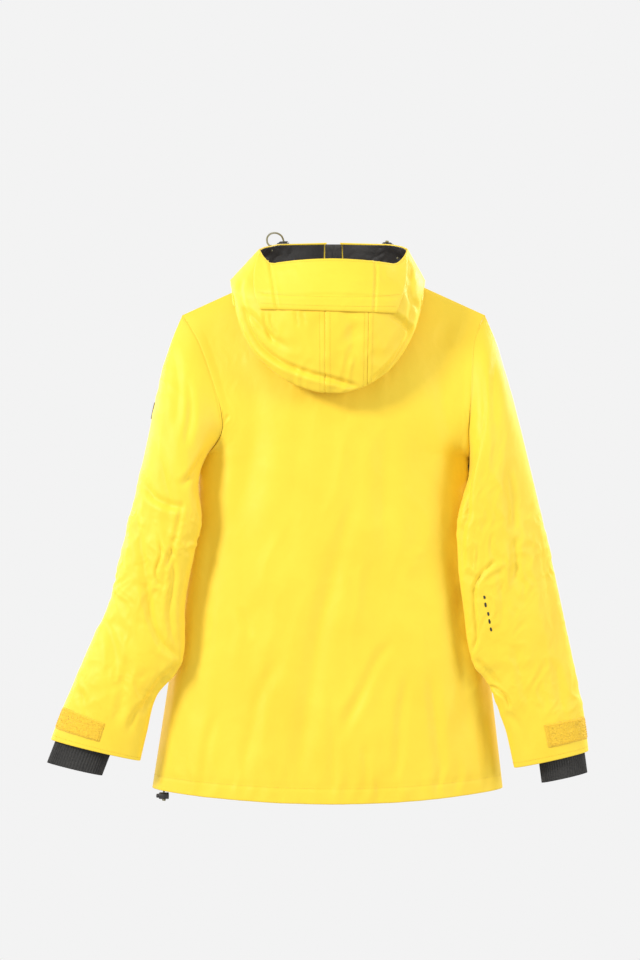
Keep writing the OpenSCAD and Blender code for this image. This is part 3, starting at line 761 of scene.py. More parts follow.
def side_seam(side):
    share = np.arange(7) / 6
    return point(side * lerp(CHEST_HALF, pick(side, HEM_HALF), share ** 1.15), 3 * share,
                 lerp(-ARMPIT_DROP, -SIDE_LENGTH, share))


MIDDLE = {
    BACK: np.array([[0, 47, -4], [0, 53, -70], [0, 57, -160], [0, 60, -262]], float),
    FRONT: np.array([[0, -FRONT_DEPTH, -42], [0, -FRONT_DEPTH, -262]], float),
}
MIDDLE_LOW = {
    BACK: np.array([[0, 60, -262], [0, 66, -400], [0, BACK_DEPTH, -560],
                    [0, BACK_DEPTH, -SIDE_LENGTH - HEM_DIP]], float),
    FRONT: np.array([[0, -FRONT_DEPTH, -262],
                     [0, -FRONT_DEPTH, -SIDE_LENGTH - HEM_DIP]], float),
}


def top_line(side, face, s):
    """Neck seam and shoulder seam as one line."""
    a = s * SHOULDER
    neck = np.sqrt(np.clip(1 - (a / NECK_HALF) ** 2, 0, 1))
    depth, dip = (47, 4) if face == BACK else (FRONT_DEPTH, 42)
    slope = -SHOULDER_DROP * (a - NECK_HALF) / (SHOULDER - NECK_HALF)
    return point(side * a, face * depth * neck, np.where(a < NECK_HALF, -dip * neck ** 2, slope))


def bulged(edge, middle, s):
    bulge = np.sqrt(np.clip(1 - s ** ROUND_POWER, 0, 1))
    return point(edge[..., 0] * s, lerp(edge[..., 1], middle[..., 1], bulge),
                 lerp(edge[..., 2], middle[..., 2], 1 - s * s))


def torso(side, face, v, s):
    """Torso surface; v from 0 at the top line over 1 at the underarm to 2 at the hem."""
    v, s = np.broadcast_arrays(np.asarray(v, float), np.asarray(s, float))
    upper = (v <= 1)[..., None]
    edge = np.where(upper, along(armhole(side, face), v), along(side_seam(side), v - 1))
    middle = np.where(upper, along(MIDDLE[face], v), along(MIDDLE_LOW[face], v - 1))
    first = bulged(armhole(side, face)[0], MIDDLE[face][0], s)
    fade = np.where(v < 0.8, (1 - v / 0.8) ** 2, 0)[..., None]
    seam = np.array([0, face * SEAM_GAP / 2, 0])
    return bulged(edge, middle, s) + fade * (top_line(side, face, s) - first) + seam


def back_surface(rows, shares):
    """Back from side to side; shares run from -1 at the right edge to 1 at the left one."""
    v, s = np.meshgrid(rows, shares, indexing="ij")
    return np.where((s < 0)[..., None], torso(RIGHT, BACK, v, np.abs(s)),
                    torso(LEFT, BACK, v, np.abs(s)))


PANEL_INSET = 9.0


def front_surface(side, rows, shares):
    v, s = np.meshgrid(rows, shares, indexing="ij")
    grid = torso(side, FRONT, v, lerp(PANEL_INSET / SHOULDER, 1, s))
    edge = np.abs(torso(side, FRONT, v[:, :1], PANEL_INSET / SHOULDER)[..., 0])
    grid[..., 0] += side * (PANEL_INSET - edge) * (1 - s)
    return grid


# The drape of the back. A row is a path of (x, z), then depth, width, crispness, lean and the
# share of the path over which its ends fade, where that isn't fold()'s own.
BACK_FOLDS = [
    ([(-33, -246), (-21, -343), (3, -454), (22, -521), (42, -665), (61, -768)], 5.5, 20, 0.1,
     0.35, 0.25),
    ([(74, -561), (100, -602), (114, -659), (126, -708), (139, -768)], 5.0, 15, 0.2, -0.4),
    ([(-92, -530), (-64, -564), (-44, -607), (-23, -647), (-6, -690)], 4.2, 13, 0.2, 0.3),
    ([(-109, -579), (-98, -636), (-94, -693), (-90, -768)], 4.0, 12, 0.2, 0.35),
    ([(-141, -579), (-147, -636), (-154, -693), (-159, -768)], 4.4, 13, 0.2, -0.35),
    ([(137, -487), (128, -512), (118, -536)], 3.4, 9, 0.3, 0.3, 0.4),
    ([(-44, -687), (-47, -720), (-49, -768)], 3.2, 9, 0.3, 0.2),
    ([(-75, -196), (-70, -257), (-69, -306), (-72, -380), (-85, -460)], 3.6, 22, 0, 0.3),
    ([(120, -130), (112, -210), (122, -300), (150, -400)], 4.0, 24, 0, -0.3),
    ([(-150, -120), (-158, -200), (-176, -262), (-190, -330)], 4.0, 20, 0.1, 0.4),
    ([(60, -200), (58, -290), (70, -390), (86, -480)], 2.6, 20, 0, 0.4),
    ([(178, -360), (186, -450), (196, -560), (214, -700)], 5.0, 20, 0.1, 0.4, 0.25),
    ([(-172, -380), (-182, -470), (-190, -580), (-200, -690)], 4.6, 18, 0.1, -0.4, 0.25),
    ([(152, -209), (158, -216), (166, -224)], 2.4, 5, 0.6, 0, 0.4),
    ([(-193, -200), (-197, -218), (-202, -238)], 2.4, 5, 0.6, 0, 0.4),
    ([(8, -610), (0, -680), (6, -768)], 2.4, 10, 0.1, 0.4),
    ([(172, -640), (186, -700), (192, -768)], 3.0, 10, 0.2, 0.3),
    ([(-216, -640), (-222, -700), (-226, -768)], 2.6, 10, 0.2, 0.3),
]
PUCKERS = [140, 118, 96, 72, 57, 22, -8, -30, -52, -70, -100, -141, -161, -190, 170, 205]
HEM_CHANNEL = 27


def torso_drape(grid, rows, seed_shift):
    """Soft uneven hang of the cloth, with the gathers of the drawcord channel at the hem."""
    x, z = grid[..., 0], grid[..., 2]
    hang = 3.2 * broad_noise(x / 85 + seed_shift, z / 330)
    hang += 1.5 * broad_noise(x / 34 + 3 + seed_shift, z / 150 + seed_shift)
    hang += crumple(x, z, 46, 2.6, 0.9, seed_shift) + crumple(x, z, 17, 2.2, 0.18, seed_shift)
    rise = (2 - rows[:, None]) * (SIDE_LENGTH - ARMPIT_DROP)
    hang -= 1.3 * np.exp(-np.abs(rise - HEM_CHANNEL) / 2.6)
    spread = np.exp(-((rise - HEM_CHANNEL) / 24) ** 2)
    for k, centre in enumerate(PUCKERS):
        width = 4.5 + 1.5 * (k % 3)
        bend = centre + 3 * np.sin(rise / 9 + k)
        hang += (1.5 - 0.4 * (k % 2)) * np.exp(-((x - bend) / width) ** 2) * spread
        hang -= 0.9 * np.exp(-((x - bend - 1.7 * width) / width) ** 2) * spread
    calm = smoothstep(rows[:, None] / 0.25)
    return hang * calm


BACK_ROWS = np.concatenate([edged(0, 1, 84, 270)[:-4], edged(1, 2, 154, 500)[4:]])
HALF_SHARES = np.sin(np.linspace(0, math.pi / 2, 88))
BACK_SHARES = np.concatenate([-HALF_SHARES[:0:-1], HALF_SHARES])


def back_grid():
    keep = smoothstep(BACK_ROWS / 0.5)[:, None] * smoothstep((1 - np.abs(BACK_SHARES)) / 0.2)
    grid = eased(back_surface(BACK_ROWS, BACK_SHARES), keep)
    x, z = grid[..., 0], grid[..., 2]
    height = folds(x, z, BACK_FOLDS, 0.95) + torso_drape(grid, BACK_ROWS, 0.0)
    edge = smoothstep((1 - np.abs(BACK_SHARES[None])) / 0.06)
    return moved(grid, height * edge)


FRONT_FOLDS = [
    ([(60, -150), (74, -240), (70, -330), (84, -440)], 4.0, 20, 0, 0.35),
    ([(110, -140), (128, -220), (160, -320), (176, -420)], 4.5, 22, 0.1, -0.35),
    ([(150, -520), (168, -610), (176, -700), (184, -768)], 4.6, 16, 0.2, 0.35),
    ([(86, -560), (80, -640), (88, -710), (84, -768)], 3.8, 13, 0.2, -0.3),
    ([(40, -470), (46, -560), (38, -660), (44, -768)], 2.6, 12, 0.1, 0.3),
    ([(196, -440), (206, -540), (222, -650), (232, -740)], 4.2, 16, 0.1, 0.3),
    ([(150, -190), (160, -206), (172, -216)], 2.2, 6, 0.5, 0, 0.4),
]
FRONT_SHARES = np.concatenate([EDGE_STEPS[:-1] / 215, HALF_SHARES[1:] * (1 - 0.016) + 0.016])


POCKET_X, POCKET_TOP, POCKET_LENGTH = 120, -470, 170


def front_panel_grid(side):
    grid = front_surface(side, BACK_ROWS, FRONT_SHARES)
    x, z = grid[..., 0], grid[..., 2]
    height = folds(x * side, z, FRONT_FOLDS, 1.15) + torso_drape(grid, BACK_ROWS, 5.0 + side)
    edge = smoothstep((1 - FRONT_SHARES[None]) / 0.06) * smoothstep(FRONT_SHARES[None] / 0.16)
    flat = pocket_calm(grid, side)
    grid = moved(grid, height * edge * flat)
    return left_turned(side, grid)


def pocket_calm(grid, side):
    """0 beside the pocket zip, where the cloth lies flat, and 1 away from it."""
    dx = np.abs(grid[..., 0] * side - POCKET_X)
    dz = np.clip(np.abs(grid[..., 2] - POCKET_TOP + POCKET_LENGTH / 2) - 88, 0, None)
    return smoothstep(np.hypot(dx, dz) / 26)


def sewn(grid, rows_kept, cols_kept, depth):
    """Part of a grid, deeper inside the shell by depth mm, as a lining hangs."""
    inner = grid - outward(grid) * depth
    return inner[rows_kept][:, cols_kept]


def stitch_line(line, normal, step=3.4, length=2.3, lift=0.1):
    """Places of the stitches along a line of points with their surface normals."""
    line, normal = np.asarray(line, float), np.asarray(normal, float)
    reach = np.concatenate([[0], np.cumsum(np.linalg.norm(np.diff(line, axis=0), axis=1))])
    spots = np.arange(step, reach[-1] - step / 2, step)
    at = np.stack([np.interp(spots, reach, line[:, k]) for k in range(3)], axis=-1)
    ahead = np.stack([np.interp(spots + length / 2, reach, line[:, k]) for k in range(3)], axis=-1)
    facing = np.stack([np.interp(spots, reach, normal[:, k]) for k in range(3)], axis=-1)
    return [frame_at(p + n * lift, q - p, n) for p, q, n in zip(at, ahead, facing)
            if np.linalg.norm(q - p) > 0.2]


STITCH, STITCH_FACES = pill(2.3, 0.34)


def stitching(name, places, material=None):
    return instanced(name, STITCH, STITCH_FACES, places, material or THREAD)


def grid_line(grid, row=None, col=None, skip=2):
    """A row or column of a grid with its normals, short of both ends."""
    normal = outward(grid)
    if row is not None:
        return grid[row, skip:-skip], normal[row, skip:-skip]
    return grid[skip:-skip, col], normal[skip:-skip, col]


def seams(grid, rows=(), cols=(), skip=2):
    """Places of the stitches along some rows and then some columns of a grid."""
    lines = [grid_line(grid, row=row, skip=skip) for row in rows]
    lines += [grid_line(grid, col=col, skip=skip) for col in cols]
    return [place for line in lines for place in stitch_line(*line)]


def nearest_row(rows, value):
    return int(np.argmin(np.abs(rows - value)))


HEM_V = 2 - HEM_CHANNEL / (SIDE_LENGTH - ARMPIT_DROP)
LINING_DROP = SHELL_T + 2.4


def make_torso():
    channel = nearest_row(BACK_ROWS, HEM_V)
    low = nearest_row(BACK_ROWS, 1.95)
    back = back_grid()
    shell = sheet_object("shell_back", rolled(back, 0, 1.4, 0.6, 0.6), SHELL_T, SHELL)
    rows, cols = slice(5, low), slice(7, -7)
    lining = sheet_object("lining_back", sewn(back, rows, cols, LINING_DROP), LINING_T, LINING)
    stitch = stitching("hem_stitching_back", seams(back, [channel]))
    bind(shell, "shell", "back_panel", "jacket")
    bind(lining, "lining", "back_lining", "jacket")
    bind(stitch, "shell", body="jacket")
    for side in (LEFT, RIGHT):
        make_front(side, channel, low)


def make_front(side, channel, low):
    name = SIDE_NAME[side]
    grid = front_panel_grid(side)
    inner_first = side == LEFT
    shell = sheet_object(f"shell_front_{name}",
                         rolled(grid, 0, 1.4, 1.2 if inner_first else 1.0,
                                1.0 if inner_first else 1.2), SHELL_T, SHELL)
    cols = slice(7, -8) if inner_first else slice(8, -7)
    lining = sheet_object(f"lining_front_{name}",
                          sewn(grid, slice(5, low), cols, LINING_DROP), LINING_T, LINING)
    edge_col = -5 if inner_first else 4
    thread = seams(grid, [channel]) + seams(grid, cols=[edge_col], skip=5)
    stitch = stitching(f"stitching_front_{name}", thread)
    bind(shell, "shell", f"{name}_front_panel", "jacket")
    bind(lining, "lining", f"{name}_front_lining", "jacket")
    bind(stitch, "shell", body="jacket")


make_torso()


# ---- hem facing, drawcord, powder skirt, storm flap ----------


def band(grid, drop):
    return grid - outward(grid) * drop


def panel_spans(rows, reach, back_count, first, front_count):
    """Strips round the inside of the three panels, each with its place, out to a share of them."""
    yield "back", back_surface(rows, np.linspace(-reach, reach, back_count))
    for side in (LEFT, RIGHT):
        grid = front_surface(side, rows, np.linspace(first, reach, front_count))
        yield f"front_{SIDE_NAME[side]}", left_turned(side, grid)


FACING_ROWS = np.linspace(1.955, 1.995, 5)
FACING_REACH, SKIRT_REACH = 0.924, 0.83
FACING_DROP, SKIRT_DROP, CORD_DROP = 7, 10, 4


def make_hem():
    for place, grid in panel_spans(FACING_ROWS, FACING_REACH, 110, 0.1, 50):
        facing = sheet_object(f"hem_facing_{place}", band(grid, FACING_DROP), LINING_T, LINING)
        bind(facing, "lining", "hem_facing", "jacket")
    line = []
    for side, face in ((RIGHT, FRONT), (RIGHT, BACK), (LEFT, BACK), (LEFT, FRONT)):
        s = np.linspace(0.1, 0.955, 30)
        grid = torso(side, face, np.array([[1.965], [1.975], [1.985]]), s[None])
        inner = (grid - outward(grid) * CORD_DROP * side * face)[1]
        forward = (side, face) in ((RIGHT, FRONT), (LEFT, BACK))
        line.append(inner if forward else inner[::-1])
    cord = tube("hem_cord", np.concatenate(line), CORD_D / 2, CORD, sides=10)
    bind(cord, "cord", "hem_drawcord", "jacket")


def make_powder_skirt():
    rows = np.linspace(1.6, 1.86, 40)
    gather = smoothstep((rows - 1.8) / 0.06)[:, None]
    for place, grid in panel_spans(rows, SKIRT_REACH, 240, 0.0, 120):
        grid = band(grid, SKIRT_DROP)
        x, z = grid[..., 0], grid[..., 2]
        height = 1.6 * broad_noise(x / 22, z / 130) + gather * 0.8 * np.sin(x / 1.9)
        piece = sheet_object(f"powder_skirt_{place}", moved(grid, height), LINING_T, LINING)
        bind(piece, "lining", "powder_skirt", "jacket")


def make_storm_flap():
    low, high = node_box("storm_flap")
    z = np.linspace(high[2], low[2], 180)
    x = np.linspace(low[0], high[0], 14)
    z, x = np.meshgrid(z, x, indexing="ij")
    wave = 0.25 * broad_noise(x / 18, z / 40)
    grid = rolled(point(-x, low[1] + 0.3 + wave, z), 0.5, 0.5, 0.4, 0.4)
    piece = sheet_object("storm_flap_cloth", grid, 1.0, SHELL)
    bind(piece, "shell", "storm_flap", "jacket")


make_hem()
make_powder_skirt()
make_storm_flap()


# ---- collar and hood ----------

HOOD_DROP = 178
HOOD_HALF = (150, 133)
BRIM_HEIGHT = 78
COLLAR_HEIGHT = 50


def cos_d(a):
    return np.cos(np.radians(a))


def sin_d(a):
    return np.sin(np.radians(a))


def neck_seam(side, a):
    depth = np.where(a < 90, 47, FRONT_DEPTH)
    return point(side * NECK_HALF * sin_d(a), depth * cos_d(a),
                 np.where(a < 90, 0.5, -0.3 - 41.7 * cos_d(a) ** 2))


def fold_point(side, a, low):
    deep = np.clip(cos_d(a), 0, 1)
    return point(side * (pick(side, HOOD_HALF) - 4) * sin_d(a),
                 12 + (78 if low else 74) * np.sqrt(deep),
                 -22 - (HOOD_DROP - 22) * deep + (0 if low else 4))


def face_point(side, a):
    deep = np.clip(cos_d(a), 0, 1)
    return point(side * pick(side, HOOD_HALF) * sin_d(a), 14 + 98 * deep ** 0.6,
                 -10 - 52 * deep)


def rim_point(side, a):
    deep = np.clip(cos_d(a), 0, 1)
    corner = np.clip(sin_d(a) - 0.75, 0, 1) / 0.25
    return point(side * lerp(116, 108, a / 90) * sin_d(a), 8 + 86 * deep ** 0.7,
                 BRIM_HEIGHT - 62 - 10 * sin_d(a) ** 2 + 30 * corner ** 2)


def hood_leaf(side, a):
    """Nine points from the rim down the outer leaf, round the bottom fold, to the neck seam."""
    seam = neck_seam(side, a) + np.array([0, 1, 0])
    inner, low = fold_point(side, a, False), fold_point(side, a, True)
    face, rim = face_point(side, a), rim_point(side, a)
    up = np.array([0, 1.0, 0])
    return np.stack([rim, lerp(rim, face, 0.5) + 3 * up, face, lerp(face, low, 0.6) + 9 * up,
                     low + np.array([0, 8, 5]), low, inner - np.array([0, 4, -4]),
                     lerp(inner, seam, 0.45), seam])


def hood_surface(angles, rows):
    """Hood over signed angles, right negative; rows from 0 at the rim to 1 at the neck seam."""
    columns = [along(hood_leaf(RIGHT if a < 0 else LEFT, abs(a)), rows) for a in angles]
    return np.stack(columns, axis=1)


# Folds of the lowered hood, in rows like those of the back.
HOOD_FOLDS = [
    ([(136, -44), (126, -78), (110, -108), (88, -128), (60, -143), (30, -153), (-4, -162),
      (-40, -173)], 6.0, 7, 0.45, 0.35, 0.1),
    ([(-80, -64), (-100, -76), (-112, -90), (-104, -110), (-84, -136), (-54, -164)], 5.0, 6.5,
     0.45, -0.35, 0.1),
    ([(-112, -40), (-124, -62), (-122, -88)], 2.6, 6, 0.4, 0.3),
    ([(136, -52), (112, -74), (88, -100), (58, -118)], 3.6, 8, 0.3, -0.3),
    ([(102, -60), (98, -84), (88, -110)], 2.4, 5, 0.6, 0.2),
    ([(93, -62), (90, -82), (80, -98)], 1.8, 4, 0.6, 0),
    ([(57, -60), (54, -72), (52, -84)], 1.8, 4, 0.6, 0),
    ([(46, -60), (45, -70), (40, -82)], 1.6, 4, 0.6, 0),
    ([(20, -64), (24, -96), (14, -132)], 2.6, 14, 0.1, 0.3),
    ([(-26, -70), (-30, -104), (-24, -138)], 2.6, 13, 0.1, -0.3),
    ([(-104, -20), (-112, -52), (-106, -86)], 3.0, 8, 0.3, 0.3),
    ([(132, -8), (137, -30), (131, -54)], 3.2, 8, 0.3, -0.3),
]
HOOD_SEAMS = (-22, 5)
HOOD_END = 90


def hood_moved(grid):
    x, z = grid[..., 0], grid[..., 2]
    outer = np.clip(outward(grid)[..., 1] * 1.5, 0, 1)
    height = folds(x, z, HOOD_FOLDS, 1.3) * outer
    height += 2.0 * broad_noise(x / 40 + 2, z / 60) * outer
    height += crumple(x, z, 24, 1.6, 1.1, 7.0) * outer
    calm = smoothstep((110 * (HOOD_HALF[0] - np.abs(x)) + 900) / 4000)
    return moved(grid, height * calm)


def hood_blend(piece):
    """Bakes the hood piece's placement into its mesh."""
    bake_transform(piece)


HOOD_ROWS = np.linspace(0.012, 0.97, 150)


def hood_panel(name, node, start, end, count, first, last):
    length = max(abs(end - start) * 2.2, 30)
    grid = hood_surface(edged(start, end, count, length), HOOD_ROWS)
    grid = rolled(hood_moved(grid), 0, 0, first, last)
    piece = sheet_object(name, grid, SHELL_T, SHELL)
    bind(piece, "shell", node)
    hood_blend(piece)
    return grid


def make_hood():
    centre = hood_panel("hood_crown", "hood_center_panel", *HOOD_SEAMS, 26, 1.2, 1.2)
    left = hood_panel("hood_side_left", "hood_left_panel", HOOD_SEAMS[1], HOOD_END, 80, 1.2, 0)
    right = hood_panel("hood_side_right", "hood_right_panel", -HOOD_END, HOOD_SEAMS[0], 68, 0,
                       1.2)
    places = []
    for grid, col in ((centre, 5), (centre, -6), (left, 5), (right, -6)):
        places += seams(grid, cols=[col])
    stitch = stitching("hood_seam_stitching", places)
    hood_blend(stitch)


BRIM_BOTTOM = -62
BRIM_ANGLES = {LEFT: (82, 44), RIGHT: (78, 42)}
BRIM_LIFT = (1.4, 3.6)


def level_row(side, a, z):
    """Row of the hood where its outer leaf comes down to a height."""
    rows = np.linspace(0.1, 0.5, 41)
    heights = along(hood_leaf(side, a), rows)[:, 2]
    return float(np.interp(-z, -heights, rows))


def brim_surface(shares, rows):
    """Brim over the hood; shares from -1 at its right end to 1 at its left one."""
    columns = []
    for share in shares:
        side = RIGHT if share < 0 else LEFT
        top, low = BRIM_ANGLES[side]
        foot = level_row(side, abs(share) * low, BRIM_BOTTOM + 3 * share)
        angles = abs(share) * lerp(top, low, rows ** 0.8)
        columns.append([along(hood_leaf(side, a), lerp(0.006, foot, r))
                        for a, r in zip(angles, rows)])
    return np.swapaxes(np.array(columns), 0, 1)


def make_brim():
    shares = edged(-1, 1, 150, 230)
    rows = edged(0, 1, 44, 80)
    grid = brim_surface(shares, rows)
    x, z = grid[..., 0], grid[..., 2]
    height = lerp(BRIM_LIFT[0], BRIM_LIFT[1], smoothstep(rows))[:, None] + 0 * x
    height += 1.0 * broad_noise(x / 46, z / 34) + crumple(x, z, 20, 1.0, 0.35, 3.0)
    for seam in ([(94, 14), (88, -20), (80, -66)], [(-61, 15), (-60, -20), (-57, -66)]):
        height += fold(x, z, seam, 1.6, 4.4, 0.6, 0.0, 0.04)
    height += fold(x, z, [(-92, -43), (-40, -41), (10, -39), (60, -40), (104, -36)], 0.8, 4.0,
                   0.4, 0.0, 0.04)
    grid = rolled(moved(grid, height), 1.6, 1.8, 1.6, 1.6)
    piece = sheet_object("hood_brim_cloth", grid, SHELL_T, SHELL)
    stitch = stitching("brim_stitching", seams(grid, (5, -6, int(len(rows) * 0.74)), skip=4))
    for made in (piece, stitch):
        hood_blend(made)
    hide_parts("hood_brim")


HOOD_LINING_END = 50
OUTER_LEAF = 52


def make_hood_lining():
    """Lining of the whole pocket, and of only the outer leaf towards its flat corners."""
    spans = {"crown": (-HOOD_LINING_END, HOOD_LINING_END, len(HOOD_ROWS) - 3),
             "left": (HOOD_LINING_END, HOOD_END - 0.6, OUTER_LEAF),
             "right": (-HOOD_END + 0.6, -HOOD_LINING_END, OUTER_LEAF)}
    for place, (start, end, last) in spans.items():
        angles = np.linspace(start, end, max(int(abs(end - start)), 16))
        grid = hood_moved(hood_surface(angles, HOOD_ROWS))[2:last]
        deep = SHELL_T + 0.15 + 1.4 * smoothstep((HOOD_LINING_END - np.abs(angles)) / 20)
        grid = grid - outward(grid) * deep[None, :, None]
        piece = sheet_object(f"hood_lining_{place}", grid, THIN_LINING_T, LINING)
        bind(piece, "lining", "hood_lining")
        hood_blend(piece)


COLLAR_START, COLLAR_TURN, COLLAR_END = 90, 130, 173.5
COLLAR_FOLDED = 16


def collar_front(side, a, u):
    turn = (a - 90) / 90
    rim = point(side * lerp(102, 88, turn) * sin_d(a),
                (FRONT_DEPTH + 2) * cos_d(a) + 6 * sin_d(a),
                lerp(COLLAR_HEIGHT - 12, COLLAR_HEIGHT, np.sqrt(turn)))
    p = lerp(neck_seam(side, a), rim, u[..., None])
    p[..., 0] += side * 10 * np.sin(math.pi * u) * sin_d(a)
    tuck = smoothstep((0.1 - u) / 0.1) * smoothstep((a - 95) / 25)
    p -= tuck[..., None] * point(2.6 * side * sin_d(a), 2.6 * cos_d(a), 3.4)
    straight = np.clip((a - 168) / 12, 0, 1)
    p[..., 1] = lerp(p[..., 1], -FRONT_DEPTH, straight)
    return p


def collar_surface(side, angles, rows):
    a, u = np.broadcast_arrays(angles[None], rows[:, None])
    wide = along(hood_leaf(side, 90.0), 1 - u)
    fade = np.clip((COLLAR_TURN - a) / (COLLAR_TURN - COLLAR_START), 0, 1) ** 2
    grid = lerp(collar_front(side, a, u), wide, fade[..., None])
    return grid[:, ::-1] if side == RIGHT else grid


def make_collar(side):
    name = SIDE_NAME[side]
    angles = edged(COLLAR_START, COLLAR_END, 70, 150)
    rows = edged(1.0, 0.02, 40, 90)
    grid = collar_surface(side, angles, rows)
    x, z = grid[..., 0], grid[..., 2]
    shape = 1.0 * broad_noise(grid[..., 1] / 22 + side, z / 30) + crumple(x, z, 18, 1.0, 0.35)
    calm = smoothstep((COLLAR_END - angles) / 12)
    calm = calm[::-1] if side == RIGHT else calm
    grid = moved(grid, shape * calm[None])
    ends = (1.0, 0) if side == RIGHT else (0, 1.0)
    shell = sheet_object(f"collar_{name}", rolled(grid, 1.3, 0.3, *ends), SHELL_T, SHELL)
    near_zip = slice(3, -4) if side == LEFT else slice(4, -3)
    inner = sewn(grid, slice(3, -3), near_zip, SHELL_T + 0.15)
    turned = COLLAR_FOLDED if side == LEFT else -COLLAR_FOLDED
    parts = ([inner[:, turned:], inner[:20, 1:turned + 1]] if side == LEFT
             else [inner[:, :turned], inner[:20, turned - 1:-1]])
    linings = [sheet_object(f"collar_lining_{name}_{place}", part, THIN_LINING_T, LINING)
               for part, place in zip(parts, ("front", "corner"))]
    zip_col = 5 if side == RIGHT else -6
    stitch = stitching(f"collar_stitching_{name}", seams(grid, [6], [zip_col], 3))
    for piece, slot in ((shell, "shell"), (stitch, "shell"), *((p, "lining") for p in linings)):
        bind(piece, slot, body="jacket")
    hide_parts(f"{name}_collar")
    for lining in linings:
        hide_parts("collar_lining")


def make_hang_loop():
    low, high = node_box("hang_loop")
    radius = 32
    reach = math.asin(high[0] / radius)
    turn = np.linspace(-reach, reach, 60)
    z = np.linspace(high[2], low[2], 8)
    z, turn = np.meshgrid(z, turn, indexing="ij")
    centre_y = low[1] + radius
    grid = point(radius * np.sin(turn), centre_y - radius * np.cos(turn), z)
    piece = sheet_object("hang_loop_webbing", grid[:, ::-1], 1.1, WEBBING)
    bind(piece, "webbing", "hang_loop", "jacket")


make_hood()
make_brim()
make_hood_lining()
for side in (LEFT, RIGHT):
    make_collar(side)
make_hang_loop()


# ---- sleeves ----------

SLEEVE_LINES = {
    LEFT: (
        [[223, 0, -62], [240, 10, -105], [254, 20, -160], [266, 28, -215], [284, 32, -300],
         [305, 34, -390], [324, 36, -474], [358, 38, -555], [391, 40, -626], [413, 40, -683]],
        [[200, 0, -272], [198, 28, -298], [196, 46, -325], [192, 55, -361], [200, 57, -400],
         [215, 55, -478], [222, 52, -570], [258, 48, -620], [272, 46, -672], [282, 44, -714]]),
    RIGHT: (
        [[-223, 0, -62], [-240, 10, -105], [-254, 20, -157], [-269, 28, -212],
         [-288, 32, -290], [-309, 34, -380], [-330, 36, -475], [-350, 38, -575],
         [-364, 40, -640], [-372, 40, -700]],
        [[-200, 0, -272], [-197, 30, -300], [-188, 50, -328], [-180, 59, -361],
         [-180, 62, -406], [-188, 62, -490], [-199, 58, -560], [-226, 54, -604],
         [-248, 50, -660], [-263, 46, -724]]),
}
SLEEVE_DEPTHS = [38, 42, 40, 36, 33, 31, 29, 28, 27, 26]
ARMHOLE_REACH = 0.3
SLEEVE_TOP = 0.0006


def sleeve_oval(side, t, a):
    outer, inner = (along(line, t) for line in SLEEVE_LINES[side])
    middle, reach = (outer + inner) / 2, (outer - inner) / 2
    grid = middle + cos_d(a)[..., None] * reach
    grid[..., 1] += sin_d(a) * along(SLEEVE_DEPTHS, t)
    return grid


def sleeve(side, t, a):
    """Sleeve from the armhole to the cuff; a from 0 at the outer fold to 180 at the inner one."""
    t, a = np.broadcast_arrays(np.asarray(t, float), np.asarray(a, float))
    fade = np.where(t < ARMHOLE_REACH, (1 - t / ARMHOLE_REACH) ** 2, 0)[..., None]
    hole = np.where((a > 0)[..., None], along(armhole(side, BACK), np.abs(a) / 180),
                    along(armhole(side, FRONT), np.abs(a) / 180))
    return sleeve_oval(side, t, a) + fade * (hole - sleeve_oval(side, np.zeros_like(t), a))


